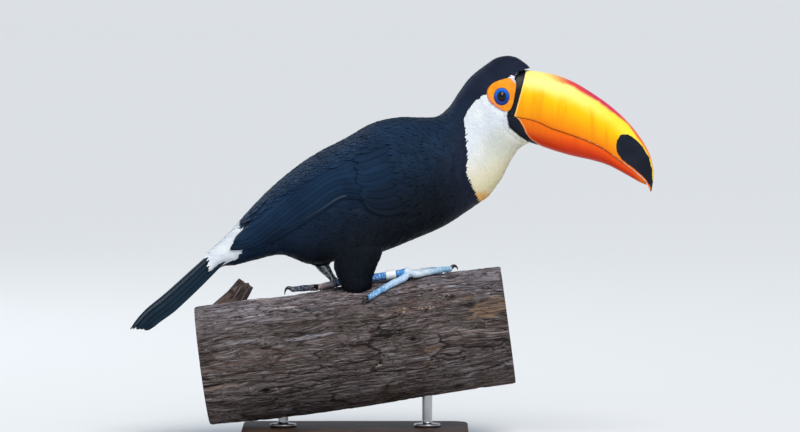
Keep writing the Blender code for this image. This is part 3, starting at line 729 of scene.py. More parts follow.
# How far each thigh's top stands out past the body's side, blended off at its rim.
def thighSwell(table):
    swell = np.zeros(tableShape)
    for row in rowsAt(table, np.linspace(0, 3.2, 60)):
        level = abs(tableZ[0] - row[2]).argmin()
        across = tableX[:, level] - row[0]
        out = abs(row[1]) + row[4] * np.sqrt(np.clip(1 - (across / row[3]) ** 2, 0, 1))
        swell[:, level] = np.where(abs(across) < row[3], out - bodyWidth[:, level], 0)
    return blurred(np.clip(swell, 0, 14) * smoothStep(-tableZ, -214, -196), 5)


swells = {side: thighSwell(table) for side, table in thighs.items()}


def plainBody(section, around):
    return bodyPoint(section, around, longBody)


# The body with its thighs' tops swelling its sides, under the flank feathers.
def flankBody(section, around):
    points = plainBody(section, around)
    x, y, z = np.moveaxis(points, -1, 0)
    swell = np.where(y > 0, lookUp(swells["left"], x, z), lookUp(swells["right"], x, z))
    y += np.sign(y) * (swell - lookUp(creaseTable, x, z)) * smoothStep(abs(y), 6, 22)
    return points


# The body with the wing's soft swell along its back, where mantle feathers run out over it.
def backOfBody(section, around):
    points = plainBody(section, around)
    x, y, z = np.moveaxis(points, -1, 0)
    y += np.sign(y) * lookUp(softCover, x, z) * smoothStep(abs(y), 3, 12)
    return points


def layContour(name, zone, start, end, surface, keep, seed, heading=0.0):
    style = feathers[zone]
    section, around = rootsOnBody(start, end, style["spacing"], seed)
    kept = keep(section, around, plainBody(section, around))
    section, around = section[kept], around[kept]
    towardsBelly = -np.sign(np.sin(around)) * np.radians(heading)
    vanes = layVanes(surface, section, around, style, seed + 1, towardsBelly)
    place = 0.03 + 0.94 * stacked(section / (len(longBody) - 1), around / turn)
    coatPiece(name, vanes, place)


def inBib(points):
    return outlineDistance(points, markings["bib"])


def behindSeat(points, room):
    return points[..., 0] < seatAt(points[..., 2]) - room


def offFace(points, room):
    return outlineDistance(points, facePatch) > room


def offWing(points):
    return lookUp(onWing.astype(float), points[..., 0], points[..., 2]) < 0.5


def onBack(around):
    return np.cos(around) > 0.25


# Along the wing's upper edge, a little over it and a little under.
def underScapulars(points):
    x, z = points[..., 0], points[..., 2]
    edge = np.interp(x, *np.array(wing["upper"])[::-1].T)
    return (abs(z - edge + 1.5) < 7.5) & (x > -70) & (x < 84)


layContour("coatFace", "face", 0, 2.2, plainBody,
           lambda s, a, p: behindSeat(p, 0.5) & offFace(p, -0.2) & (inBib(p) > -0.5), 11)
layContour("coatHead", "head", 1.6, 5.6, plainBody,
           lambda s, a, p: behindSeat(p, 1) & offFace(p, 0.2) & (inBib(p) > -0.5), 21)
layContour("coatBib", "bib", 0, 7.6, plainBody,
           lambda s, a, p: behindSeat(p, 0.5) & offFace(p, -0.2) & (inBib(p) < 0.5), 31)
layContour("coatMantle", "mantle", 5.0, 9.2, backOfBody,
           lambda s, a, p: (inBib(p) > 0) & offWing(p), 41, 4)
layContour("coatTrunk", "trunk", 8.6, 14.8, backOfBody,
           lambda s, a, p: (inBib(p) > 0) & offWing(p) & onBack(a), 51, 2)
layContour("coatBelly", "trunk", 7.6, 15.4, flankBody,
           lambda s, a, p: (inBib(p) > 0) & offWing(p) & ~onBack(a), 55)
layContour("coatRump", "mantle", 14.2, 17.4, plainBody, lambda s, a, p: np.cos(a) > -0.6, 59)
layContour("coatVent", "trunk", 15.2, 17.4, plainBody, lambda s, a, p: np.cos(a) < -0.5, 60)
layContour("coatScapulars", "scapular", 8.2, 14.4, backOfBody, lambda s, a, p: underScapulars(p), 57, 3)
print("contour feathers laid")

# Wings: lesser coverts in front, greater coverts behind them, then flight feathers to the tip
wingFeathers = {
    "lesser": featherStyle(13.0, 6.4, 7, 5, -1.0, 0.1, 0.05, 0.035, 0.03, 4, 0.42, 0.2, spacing=2.9),
    "median": featherStyle(26.0, 11.0, 10, 7, -1.1, -0.15, 0.05, 0.03, 0.03, 2, 0.40, 0.12, tilt=0.12,
                           vary=0.08),
    "greater": featherStyle(48.0, 13.5, 16, 7, -1.2, -0.5, 0.04, 0.02, 0.02, 1.5, 0.38, 0.08, tilt=0.18,
                            shaft=0.10, vary=0.06),
    "flight": featherStyle(0.0, 15.0, 30, 9, -1.7, -0.95, 0.03, 0.015, 0.02, 0.4, 0.38, 0.05, tilt=0.32,
                           shaft=0.14, vary=0.02),
}
softWidth, wideCover = blurred(bodyWidth, 1.6), blurred(farCover, 1.6)
longUpper = (*wing["upper"], (-128.0, 189.0))
longLower = (*wing["lower"], (-127.0, 177.0))


# A wing's outer surface by share along and share down: the body's half width plus the wing's cover.
def wingSurface(sign):
    def surface(share, down):
        upper, lower = rowsAt(longUpper, share * wingLast), rowsAt(longLower, share * wingLast)
        x, z = np.moveaxis(upper + (lower - upper) * down[..., None], -1, 0)
        return stacked(x, sign * (lookUp(softWidth, x, z) + lookUp(wideCover, x, z)), z)
    return surface


def rootsOnWing(fromShare, toShare, fromDown, toDown, spacing, seed, jitter=0.28):
    draw = np.random.default_rng(seed)
    fine = np.linspace(fromShare, toShare, 200)
    travelled = travel(wingPlace(fine, np.full(200, 0.5)))
    wingLength = 210
    found = []
    for k, share in enumerate(np.interp(np.arange(0, travelled[-1], spacing), travelled, fine)):
        ends = wingPlace(np.full(2, share), np.array([fromDown, toDown]))
        places = max(2, round(np.linalg.norm(ends[1] - ends[0]) / spacing))
        downs = fromDown + (toDown - fromDown) * rowShares(draw, places, k, jitter, 0.25)
        found.append(stacked(share + draw.uniform(-jitter, jitter, places) * spacing / wingLength, downs))
    return np.concatenate(found).T


def layWing(name, kind, side, share, down, seed, wall=None, colours=None, heading=0.0, **changes):
    sign = sides[side]
    style = {**wingFeathers[kind], **changes}
    vanes = layVanes(wingSurface(sign), share, down, style, seed, heading * sign, sign, 0.006)
    place = 0.05 + 0.9 * stacked(share, np.clip(down, 0, 1))
    coatPiece(f"{name}_{side}", vanes, place, colours=colours, wall=wall)


# Flight feathers from the lowest primary up to the tertials: where each tip ends, by share and down.
flightTips = np.array([
    (0.80, 0.985), (0.88, 0.985), (0.93, 0.97), (0.965, 0.91), (0.995, 0.80), (1.025, 0.68), (1.045, 0.56),
    (1.05, 0.44), (1.035, 0.33), (1.0, 0.23), (0.955, 0.15), (0.90, 0.08), (0.84, 0.03), (0.775, 0.00),
    (0.71, -0.02), (0.64, -0.03), (0.565, -0.03),
])


def makeWings():
    shares, downs = flightTips.T
    count, rows, cols = len(shares), wingFeathers["flight"]["rows"], wingFeathers["flight"]["cols"]
    spine = np.linspace(0.30, 0.42, count)
    fine = spine + (shares - spine) * np.linspace(0, 1, rows)[:, None]
    path = wingSurface(1)(fine, np.clip(downs, 0, 1) + 0 * fine)
    length = np.linalg.norm(np.diff(path, axis=0), axis=-1).sum(axis=0)
    roots = np.clip(downs, 0.02, 1) * 0.92 - 0.05
    # the lowest feathers are narrower and lie closer to the wing's edge, the lowest with a pale rim
    width = np.full(count, wingFeathers["flight"]["width"])
    width[:2] = 10.0, 13.0
    heading = -np.radians(np.interp(np.arange(count), (0, 5), (0.6, 2.2)))
    for side in sides:
        rim = np.zeros((count, rows, cols, 3))
        rim[0, 14:26, 0 if side == "left" else -1, 0] = np.linspace(0.20, 0.01, 12)
        layWing("flightFeathers", "flight", side, spine, roots, 61, 0.25, rim, heading, length=length,
                width=width)
        places = np.linspace((0.30, 0.03), (0.33, 0.97), 12).T
        layWing("greaterCoverts", "greater", side, *places, 62, 0.2)
        places = np.linspace((0.235, 0.0), (0.25, 1.0), 15).T
        layWing("medianCoverts", "median", side, *places, 63)
        share, down = rootsOnWing(0.0, 0.27, 0.02, 1.0, wingFeathers["lesser"]["spacing"], 64)
        layWing("lesserCoverts", "lesser", side, share, down, 65)


makeWings()
print("wings feathered")

# Thighs, with a last section under each form, where the feathers end on the leg
thighFeathers = featherStyle(11.0, 3.8, 7, 3, -1.2, 0.05, 0.10, 0.05, 0.06, 7, 0.5, 0.4, spacing=2.3)
thighEnds = {"right": (3, -18.5, 137, 5, 5), "left": (-27, 17.6, 161, 3.8, 3.8)}


def makeThighs():
    for side in sides:
        table = (*thighs[side], thighEnds[side])
        draw = np.random.default_rng(71)
        fine = np.linspace(0, 5.2, 200)
        heights = rowsAt(table, fine)[:, 2]
        found = []
        for k, z in enumerate(np.arange(heights[0] - 2, heights[-1], -thighFeathers["spacing"])):
            place = np.interp(-z, -heights, fine)
            row = rowsAt(table, place)
            count = max(5, round(np.pi * (row[3] + row[4]) / thighFeathers["spacing"]))
            around = rowShares(draw, count, k, 0.3) * turn
            found.append(stacked(place + draw.uniform(-0.05, 0.05, count), around))
        place, around = np.concatenate(found).T
        x, y, z = thighPoint(table, place, around).T
        outside = (abs(y) > lookUp(bodyWidth, x, z) - 1.5) & (z < 192)
        place, around = place[outside], around[outside]
        vanes = layVanes(lambda p, a: thighPoint(table, p, a), place, around, thighFeathers, 72, sign=-1)
        unwrapped = stacked(0.05 + 0.9 * place / (len(table) - 1), 0.03 + 0.94 * (around / turn % 1))
        coatPiece(f"thighFeathers_{side}", vanes, unwrapped, colours=np.zeros((len(place), 3)))


makeThighs()
print("thighs feathered")

# Tail
tail = {
    "top": ((-111.6, 208.0), (-125.7, 195.8), (-153.5, 171.2), (-184.7, 143.0), (-202.0, 128.8),
            (-212.4, 117.6), (-219.0, 107.9), (-223.0, 101.0)),
    "rootWidth": 12.0, "width": 22.0, "arch": 16.5, "archAngle": np.radians(80), "sideShortfall": 0.11,
    "rows": 6,  # of the top line, along which a share of 1 lies
    "places": (0.90, 0.70, 0.50, 0.30, 0.09), "step": 0.28, "wall": 0.3,
    "rectrices": featherStyle(137.0, 12.5, 34, 9, -0.9, -0.5, 0.0, 0.02, 0.02, 0.3, 0.30, 0.06, shaft=0.22,
                              vary=0.0),
}


# The folded tail: its top line, with each point dropped and set out along an arc across it.
def tailSurface(share, across):
    reach = share * (1 - tail["sideShortfall"] * across**2 * share) * tail["rows"]
    middle = rowsAt(tail["top"], reach)
    run = unit(rowsAt(tail["top"], reach + 0.05) - rowsAt(tail["top"], np.maximum(reach - 0.05, 0)))
    widening = np.clip(share / 0.55, 0, 1) ** 0.8
    half = tail["rootWidth"] + (tail["width"] - tail["rootWidth"]) * widening
    angle = across * tail["archAngle"]
    drop = tail["arch"] * (1 - np.cos(angle)) / (1 - np.cos(tail["archAngle"])) * (0.6 + 0.4 * widening)
    tip = 1 - 0.30 * np.clip((share - 0.8) / 0.2, 0, 1.3) ** 2
    y = tip * half * np.sin(angle) / np.sin(tail["archAngle"])
    return stacked(middle[..., 0] - run[..., 1] * drop, y, middle[..., 1] + run[..., 0] * drop)


# The tail's feathers in pairs, from the outermost and lowest to the middle ones on top.
def makeTail():
    parts, roots = [], []
    for k, across in enumerate(tail["places"]):
        for sign in (1, -1):
            style = {**tail["rectrices"], "tilt": 0.35 * sign}
            style["length"] += 2.2 * k
            for name in ("low", "high"):
                style[name] -= tail["step"] * (4 - k)
            root = np.array([0.03]), np.array([sign * across])
            parts.append(layVanes(tailSurface, *root, style, 80 + k, 0.0, 1, 0.004))
            roots.append((0.5, 0.5 + sign * across * 0.4))
    names = ("points", "across", "along", "tone")
    joined = {name: np.concatenate([part[name] for part in parts]) for name in names}
    black = np.zeros((len(parts), 3))
    coatPiece("tailFeathers", joined, np.array(roots), "tail", colours=black, wall=tail["wall"])


makeTail()
print("tail made")

# Bill
bill = {
    "upper": (  # culmen x, z, cutting edge x, z, half width
        (140.7, 362.0, 129.0, 321.1, 19.5), (162.0, 359.5, 151.3, 315.2, 20.0),
        (179.4, 357.4, 172.7, 310.9, 20.3), (196.9, 353.6, 190.1, 303.6, 20.0),
        (215.3, 345.8, 205.6, 298.3, 19.0), (234.7, 333.7, 223.1, 292.0, 17.5),
        (253.2, 320.1, 239.6, 284.2, 15.5), (268.7, 304.8, 254.1, 274.0, 13.0),
        (279.8, 289.5, 266.8, 264.8, 10.2), (286.6, 276.4, 276.4, 257.2, 7.6),
        (289.4, 263.8, 282.3, 251.2, 5.2), (289.6, 253.2, 285.2, 245.6, 3.1),
        (287.8, 241.5, 287.1, 241.0, 0.8),
    ),
    "lower": (  # keel x, z, cutting edge x, z, half width
        (132.9, 299.7, 129.0, 320.6, 18.0), (155.2, 293.4, 151.3, 314.7, 18.5),
        (177.0, 286.4, 172.7, 310.4, 18.6), (194.6, 280.4, 190.1, 303.1, 18.0),
        (210.0, 276.0, 205.6, 297.8, 17.0), (227.9, 272.1, 223.1, 291.5, 15.4),
        (245.4, 266.8, 239.6, 283.6, 13.4), (258.6, 260.2, 254.1, 273.4, 11.0),
        (269.2, 254.2, 266.8, 264.1, 8.4), (277.6, 249.6, 276.4, 256.4, 5.8),
        (283.2, 247.4, 282.6, 250.2, 2.2),
    ),
    "ring": ((165.9, 366.0), (165.7, 357.9), (163.0, 347.3), (160.1, 336.6), (157.1, 325.0),
             (154.2, 315.3), (158.6, 311.9), (163.0, 304.6), (166.3, 296.8), (170.4, 292.0),
             (176.5, 287.6), (180.2, 284.6), (182.0, 278.0), (182.0, 260.0), (120.0, 260.0), (120.0, 366.0)),
    "tipPatch": ((257.1, 296.8), (253.6, 291.5), (252.8, 285.2), (254.1, 278.4), (259.7, 271.6),
                 (270.2, 263.8), (280.8, 254.6), (286.6, 246.0), (287.2, 236.0), (292.0, 236.0),
                 (288.9, 253.0), (288.2, 263.5), (285.0, 275.0), (278.8, 285.0), (271.6, 292.6),
                 (264.4, 297.3)),
    "rows": 230,
    "columns": 121,
    "rowLength": 17, "toothPitch": 3.1, "toothDepth": 0.16,
    "closing": 0.27,  # the halves drawn together over their gap
}


# Share of the half width at a height, from the cutting edge at 0 to the ridge at 1.
def upperWidth(height):
    low = 1 - 0.06 * ((0.3 - height) / 0.3) ** 2
    high = np.clip(1 - ((np.maximum(height, 0.3) - 0.3) / 0.7) ** 2.6, 0, 1) ** (1 / 2.2)
    return np.where(height < 0.3, low, high)


def lowerWidth(height):
    return np.clip(1 - height**2.4, 0, 1) ** (1 / 2.2)


# One half of the bill: from its cutting edge over its ridge and back, as edge + height * rise set out
# sideways by a width that depends on height; each line along it starts at the feathers' seat.
def billHalf(half, way, widthOf):
    table, columns = bill[half], bill["columns"]
    last = len(table) - 1
    over = np.linspace(-1, 1, columns)
    height = np.sin(np.pi / 2 * (1 - abs(over)))
    early = np.linspace(0, 6, 900)[:, None] + 0 * over

    def sidePlace(place):
        rows = rowsAt(table, place)
        ridge, edge = rows[..., 0:2], rows[..., 2:4]
        return edge + (ridge - edge) * height[:, None], rows[..., 4], unit(edge - ridge)

    flat = sidePlace(early)[0]
    ahead = flat[..., 0] - seatAt(flat[..., 1]) - gap
    first = (ahead > 0).argmax(axis=0)
    line = np.arange(columns)
    rise = ahead[first, line] - ahead[first - 1, line]
    start = early[first, 0] - (early[1, 0] - early[0, 0]) * ahead[first, line] / rise
    place = start + (last - start) * np.linspace(0, 1, bill["rows"])[:, None]
    flat, wide, down = sidePlace(place)
    side = np.sign(over) * wide * widthOf(height)
    side[:, columns // 2] = 0
    # small teeth along the cutting edge, a little closed over the gap, and slow ripples over the horn
    tooth = 1 - abs((place * bill["rowLength"] / bill["toothPitch"]) % 1 * 2 - 1)
    depth = bill["toothDepth"] * tooth * np.exp(-((height / 0.03) ** 2)) * smoothStep(place, 3.2, 5.0)
    depth = depth * smoothStep(-place, 0.8 - last, 2.5 - last)
    closing = bill["closing"] * smoothStep(place, 2.0, 3.0) * np.exp(-((height / 0.05) ** 2))
    flat = flat + (way * (closing - depth))[..., None] * down
    grid = stacked(flat[..., 0], side, flat[..., 1])
    normal = unit(np.cross(np.gradient(grid, axis=1), np.gradient(grid, axis=0)))
    normal *= np.sign((normal[..., 1] * np.sign(side + 1e-9)).sum())
    ring, patch = outlineDistance(grid, bill["ring"]), outlineDistance(grid, bill["tipPatch"])
    relief = 0.10 * uneven(grid, (16, 9, 9), 5, 2) + 0.05 * uneven(grid, (3.5, 2, 14), 6, 2)
    relief = relief - 0.22 * np.exp(-((ring / 0.7) ** 2)) + 0.12 * smoothStep(-ring, 0.3, 2.5)
    grid = grid + normal * (relief * smoothStep(wide, 0.5, 5))[..., None]
    # the inner face between the cutting edges, hollowed a little
    dips = np.array((0.4, 0.9, 1.0, 0.9, 0.4)) * (1.5 * smoothStep(wide[:, :1], 2, 8))
    shares = np.arange(1, 6)[:, None] / 6
    floor = grid[:, -1:] + (grid[:, :1] - grid[:, -1:]) * shares
    floor[..., (0, 2)] -= down[:, :1] * dips[..., None]

    def withFloor(values, inside):
        return [np.concatenate([values, np.full((len(values), 5), inside)], axis=1)]

    return tubePiece(f"bill{half.capitalize()}", [np.concatenate([grid, floor], axis=1)],
                     height=withFloor(height + 0 * place, 0.0), along=withFloor(place / last, 0.5),
                     ring=withFloor(ring, 9.0), patch=withFloor(patch, 9.0))


def billFinish(half):
    f = Finish(f"bill{half.capitalize()}", Coat_Weight=0.04, Coat_Roughness=0.15, Specular_IOR_Level=0.12)
    height, along, ring, patch = (f.mark(name) for name in ("height", "along", "ring", "patch"))
    cloud = f.noise(60, 4.0)
    streaks = f.noise(150, 3.0, (1.0, 0.5, 0.13))
    threads = f.noise(700, 2.0, (0.12, 1.0, 1.0))
    level = f.roughened(height, cloud, 0.16)
    if half == "upper":
        colour = f.ramp(level, (0.0, (0.84, 0.17, 0.003)), (0.08, (0.90, 0.26, 0.001)),
                        (0.28, (0.93, 0.38, 0.001)), (0.50, (0.95, 0.54, 0.001)),
                        (0.72, (0.96, 0.74, 0.045)), (0.90, (0.96, 0.70, 0.030)))
        # painted highlight: a pale yellow sheen over the upper side of the bill towards its base
        colour = f.over(colour, (0.97, 0.88, 0.30), (along, 0.55, 0.25), (level, 0.55, 0.80), by=0.75)
        colour = f.over(colour, (0.92, 0.40, 0.002), (along, 0.24, 0.08), (height, 0.75, 0.25), by=0.55)
        colour = f.over(colour, (0.84, 0.13, 0.004), (along, 0.45, 0.85), (height, 0.50, 0.05), by=0.65)
        colour = f.over(colour, (0.74, 0.22, 0.002), (streaks, 0.54, 0.72), (height, 0.85, 0.45), by=0.34)
        red = f.ramp(along, (0.16, (0.90, 0.34, 0.02)), (0.30, (0.70, 0.050, 0.045)),
                     (0.42, (0.60, 0.020, 0.085)), (0.56, (0.62, 0.028, 0.080)), (0.68, (0.80, 0.14, 0.03)),
                     (0.80, (0.88, 0.33, 0.03)))
        colour = f.over(colour, red, (level, 0.86, 0.955), (along, 0.14, 0.32))
        colour = f.over(colour, (0.93, 0.62, 0.50), (height, 0.965, 0.99), (along, 0.42, 0.62), by=0.75)
    else:
        colour = f.ramp(level, (0.0, (0.86, 0.15, 0.002)), (0.20, (0.84, 0.115, 0.002)),
                        (0.45, (0.78, 0.062, 0.002)), (0.75, (0.66, 0.032, 0.003)),
                        (1.0, (0.50, 0.024, 0.005)))
        colour = f.over(colour, (0.72, 0.052, 0.003), (along, 0.35, 0.75), (height, 0.75, 0.15), by=0.7)
        colour = f.over(colour, (0.80, 0.17, 0.002), (along, 0.42, 0.16), (height, 0.9, 0.2), by=0.75)
        colour = f.over(colour, (0.86, 0.22, 0.006), (along, 0.80, 0.97), by=0.7)
        colour = f.over(colour, (0.56, 0.045, 0.004), (streaks, 0.55, 0.72), by=0.25)
    # painted shade: a faint dark red along the cutting edge, darkening the gape between the halves
    colour = f.over(colour, (0.48, 0.065, 0.004), (height, 0.018, 0.004), (ring, 1.0, 3.0), by=0.15)
    # painted highlights: pale glints in spots along the cutting edge
    colour = f.over(colour, (0.95, 0.62, 0.42), (f.noise(330, 2.0), 0.56, 0.62), (along, 0.34, 0.48),
                    (height, 0.022, 0.006), by=0.7)
    edge = f.roughened(ring, f.noise(220, 2.0), 1.0)
    colour = f.over(colour, (1.0, 0.80, 0.34), (edge, -0.1, 0.25), (edge, 1.7, 0.5),
                    by=0.5 if half == "upper" else 0.32)
    dark = f.over((0.005, 0.007, 0.014), (0.010, 0.014, 0.026), (cloud, 0.3, 0.7))
    colour = f.over(colour, dark, (edge, 0.12, -0.25))
    colour = f.over(colour, dark, (f.roughened(patch, f.noise(300), 1.6), 0.35, -0.45))
    wear = f.math("ADD", f.scaled(threads, 0.5), f.scaled(cloud, 0.8))
    return f.done(colour, f.scaled(wear, 0.18, 0.26), f.bump(wear, 0.0003, 0.3))


for half, way, widthOf in (("upper", 1, upperWidth), ("lower", -1, lowerWidth)):
    finishPiece(billHalf(half, way, widthOf), billFinish(half), "bill", f"bill_{half}")
print("bill made")


# The step from the bill's base out to the cheek, by share of the head's half width and by height; past
# a share of 1 it goes back along the head's side.
def seatStep(sign):
    def surface(share, z):
        wide = np.maximum(lookUp(bodyWidth, seatAt(z) - 1.5, z), 2)
        x = seatAt(z) - 0.2 - 1.3 * smoothStep(share, 0.8, 1.0) - wide * np.maximum(share - 1, 0)
        y = np.where(share < 1, wide * share, lookUp(bodyWidth, x, z))
        return stacked(x, sign * y, z)
    return surface


# Short feathers over that step, from the bill outwards and a little down.
def makeChin():
    draw = np.random.default_rng(91)
    spacing, gape = 1.05, 321
    for side, sign in sides.items():
        found = []
        for z in np.arange(291.0, 331.0, spacing):
            over = (z - gape) / 41  # the bill's half width at this height, over and under its cutting edges
            edge = 19.4 * upperWidth(over) if over > 0 else 18.0 * lowerWidth(min(1, (gape - z) / 21.5))
            wide = max(8, lookUp(bodyWidth, seatAt(z) - 1.5, z))
            count = max(2, int((wide - edge + 1.5) / spacing))
            share = np.linspace((edge - 1.0) / wide, 0.98, count) + draw.uniform(-0.02, 0.02, count)
            found.append(stacked(share, z + draw.uniform(-0.3, 0.3, count)))
        share, z = np.concatenate(found).T
        style = {**feathers["face"], "length": 4.2, "low": -0.45, "high": 0.15}
        vanes = layVanes(seatStep(sign), share, z, style, 92, -sign * np.radians(24), -sign)
        around = np.arctan2(sign * share, (z - 325) / 36) % turn
        coatPiece(f"coatChin_{side}", vanes, stacked(0.09, 0.03 + 0.94 * around / turn))


makeChin()
print("chin feathered")

# Eyes and the bare skin round them
face = {
    "eyeX": 141.9, "eyeZ": 334.2, "radius": 7.5, "proud": 1.4,
    "lid": ((4.1, -1.1), (4.5, -0.2), (4.95, 0.45), (5.5, 0.85), (6.2, 1.02), (6.7, 0.98), (7.15, 0.75),
            (7.6, 0.45), (8.0, 0.25)),  # radius and height over the head
    "rows": 34,
    "columns": 132,
}
smoothHead = blurred(bodyWidth, 1.2)


# Distance from the eye to the patch's outline in each direction.
def patchReach(angle):
    a = np.array(facePatch) - (face["eyeX"], face["eyeZ"])
    b = np.roll(a, -1, axis=0)
    ray = stacked(np.cos(angle), np.sin(angle))[:, None]
    edge = b - a
    cross = ray[..., 0] * edge[:, 1] - ray[..., 1] * edge[:, 0]
    cross = np.where(abs(cross) < 1e-9, 1e-9, cross)
    reach = (a[:, 0] * edge[:, 1] - a[:, 1] * edge[:, 0]) / cross
    part = (a[:, 0] * ray[..., 1] - a[:, 1] * ray[..., 0]) / cross
    hit = (reach > 0) & (part >= 0) & (part <= 1)
    reach = np.where(hit, reach, 1e9).min(axis=1)
    ends = np.concatenate([reach[-4:], reach, reach[:4]])
    return np.convolve(ends, np.ones(9) / 9, "valid")


# A sheet over the cheek from the eyelid out to the patch's edge, in rings round the eye with folds.
def makeFace(side, sign):
    around = ringAngles(face["columns"])
    lid = np.array(face["lid"])
    ring = rowsAt(lid, np.linspace(0, len(lid) - 1, 22))
    reach = patchReach(around) + 0.7
    share = np.linspace(0, 1, face["rows"])[1:, None]
    still = 0 * around
    radius = np.concatenate([ring[:, :1] + still, ring[-1, 0] + (reach - ring[-1, 0]) * share])
    level = np.concatenate([ring[:, 1:] + still, 0.25 - 1.5 * smoothStep(share, 0.86, 1.0) + still])
    u, v = np.cos(around), np.sin(around)
    stretch = 1 + 0.07 * (v**2 - u**2) * smoothStep(-radius, -13, -6)
    x, z = face["eyeX"] + radius * u * stretch, face["eyeZ"] + radius * v * stretch
    bare = smoothStep(radius, 7.6, 9.0)
    flat = stacked(x, 0, z)
    folds = 0.10 * np.sin(radius * 3.4 + 2.2 * uneven(flat, 4, 8, 2)) * bare
    folds = folds + 0.09 * uneven(flat, (1.6, 1, 1.6), 9, 2) * bare
    spokes = 0.06 * np.sin(19 * around + 3 * uneven(flat, 3, 10, 2)) * bare
    folds = folds + spokes * smoothStep(-radius, -14, -8)
    creases = 0.09 * np.sin(radius * 7.5 + uneven(flat, 3, 12, 2))
    creases = creases * smoothStep(radius, 5.0, 5.6) * (1 - bare)
    y = lookUp(smoothHead, x, z) + level + folds * smoothStep(-level, -0.3, 0.4) + creases
    faces = gridFaces(*radius.shape, True)[:, ::-sign]
    piece = newPiece(f"faceSkin_{side}", stacked(x, sign * y, z), faces, radius=radius,
                     edge=reach - radius, fold=folds + creases)
    thicken(piece, 0.5)
    return piece


def faceFinish():
    f = Finish("faceSkin", Specular_IOR_Level=0.18)
    radius, edge, fold = (f.mark(name) for name in ("radius", "edge", "fold"))
    cloud = f.noise(180)
    x, _, z = f.axes(f.place)
    slant = f.math("ADD", x, z)
    orange = f.over((0.80, 0.25, 0.004), (0.88, 0.36, 0.008), (cloud, 0.3, 0.7))
    # painted shade: the orange skin is darker down in its folds
    orange = f.over(orange, (0.72, 0.16, 0.004), (fold, 0.02, -0.18), by=0.6)
    orange = f.over(orange, (0.84, 0.19, 0.10), (edge, 3.2, 0.8), (slant, 0.4685, 0.4620), by=0.75)
    orange = f.over(orange, (0.66, 0.62, 0.72), (slant, 0.5005, 0.5045), (x, 0.1495, 0.1525))
    # painted light and shade: the blue ring is brighter over the eye and darker below it, and darker again
    # down in its creases
    blue = f.over((0.004, 0.028, 0.22), (0.008, 0.160, 0.82), (z, 0.3285, 0.3405))
    blue = f.over(blue, (0.003, 0.010, 0.09), (fold, 0.03, -0.08))
    colour = f.over((0.004, 0.006, 0.03), blue, (radius, 4.40, 5.15))
    colour = f.over(colour, (0.004, 0.014, 0.10), (radius, 6.85, 7.5))
    colour = f.over(colour, orange, (radius, 7.6, 8.0))
    return f.done(colour, f.scaled(cloud, 0.25, 0.30), f.bump(f.cells(1100), 0.00015, 0.5))


# The eye: a ball with its cornea a little bulged, marked with the distance from its axis.
def makeEye(side, sign):
    ball, bulge = face["radius"], 0.35
    across, around = gridOf(np.linspace(0, np.pi, 61)[1:-1], ringAngles(72))
    radius = ball + bulge * np.exp(-((np.sin(across) * ball / 3.4) ** 2)) * (across < np.pi / 2)
    out, off = radius * np.cos(across), radius * np.sin(across)
    middle = lookUp(bodyWidth, np.array(face["eyeX"]), np.array(face["eyeZ"])) + face["proud"] - ball
    x, z = face["eyeX"] + off * np.cos(around), face["eyeZ"] + off * np.sin(around)
    points, faces, ends = closedTube(stacked(x, sign * (middle + out), z))
    points[-2:, 1] = sign * (middle + ball + bulge), sign * (middle - ball)
    points[-2:, (0, 2)] = face["eyeX"], face["eyeZ"]
    piece = newPiece(f"eyeball_{side}", points, faces, ends, off=np.append(off, [0, ball]))
    recalculate(piece)
    return piece


def eyeFinish():
    f = Finish("eye", Coat_Weight=0.8, Coat_Roughness=0.02, Coat_IOR=1.33, Specular_IOR_Level=0.1)
    off, rays = f.mark("off"), f.noise(900)
    iris = f.over((0.007, 0.004, 0.003), (0.026, 0.012, 0.008), (rays, 0.35, 0.65))
    colour = f.over((0.001, 0.001, 0.002), iris, (off, 2.3, 2.6))
    colour = f.over(colour, (0.004, 0.006, 0.02), (off, 4.0, 4.6))
    return f.done(colour, f.scaled(rays, 0.12, 0.02))


faceSkin, eye = faceFinish(), eyeFinish()
for side, sign in sides.items():
    finishPiece(makeFace(side, sign), faceSkin, "face_skin")
    finishPiece(makeEye(side, sign), eye, "eye", f"eye_{side}")
print("face made")

# Perch
perch = {
    "half": 150.0, "radius": 60.0, "taper": 2.0, "height": 91.2, "rise": np.radians(7.6),
    "dip": 2.6, "dipAt": -55.0, "dipReach": 38.0, "rows": 240, "columns": 400,
    "stub": {"along": -123.0, "around": np.radians(-8), "depth": 14.0, "lean": np.radians(33),
             "reach": (0, 14, 24.8, 41), "radius": (17, 13.5, 10.5, 8.6)},
    "checks": (  # angle, from and to radius, width
        (15.0, 3.0, 46.0, 1.0), (88.0, 2.0, 55.0, 1.4), (158.0, 5.0, 38.0, 0.9), (232.0, 2.0, 50.0, 1.2),
        (301.0, 8.0, 43.0, 0.8),
    ),
    # along, angle, then a size, a reach and spread, or a reach, spread and number of waves
    "knots": ((57.0, 87.0, 4.2), (-40.0, 200.0, 9.0), (95.0, 150.0, 6.0), (-90.0, 120.0, 5.0)),
    "bare": ((134.0, 66.0, 26.0, 15.0), (74.0, 99.0, 7.0, 2.6), (50.0, 57.0, 8.0, 3.0),
             (70.0, 112.0, 5.0, 2.0), (-20.0, 230.0, 30.0, 12.0), (-100.0, 300.0, 22.0, 10.0)),
    "tracks": ((73.7, 58.0, 7.5, 2.8, 3), (51.0, 57.0, 3.0, 3.6, 2), (20.0, 108.0, 4.0, 2.0, 2)),
}


# The log's radius: a slow taper to each end, low swells round its sides and a shallow dip on top.
def perchRadius(along, around):
    swell = 1.2 * np.sin(3 * around + along / 55) * (1 - np.cos(around)) / 2
    dip = perch["dip"] * np.exp(-(((along - perch["dipAt"]) / perch["dipReach"]) ** 2))
    taper = perch["taper"] * (along / perch["half"]) ** 2
    return perch["radius"] - taper + swell - dip * np.maximum(0, np.cos(around))


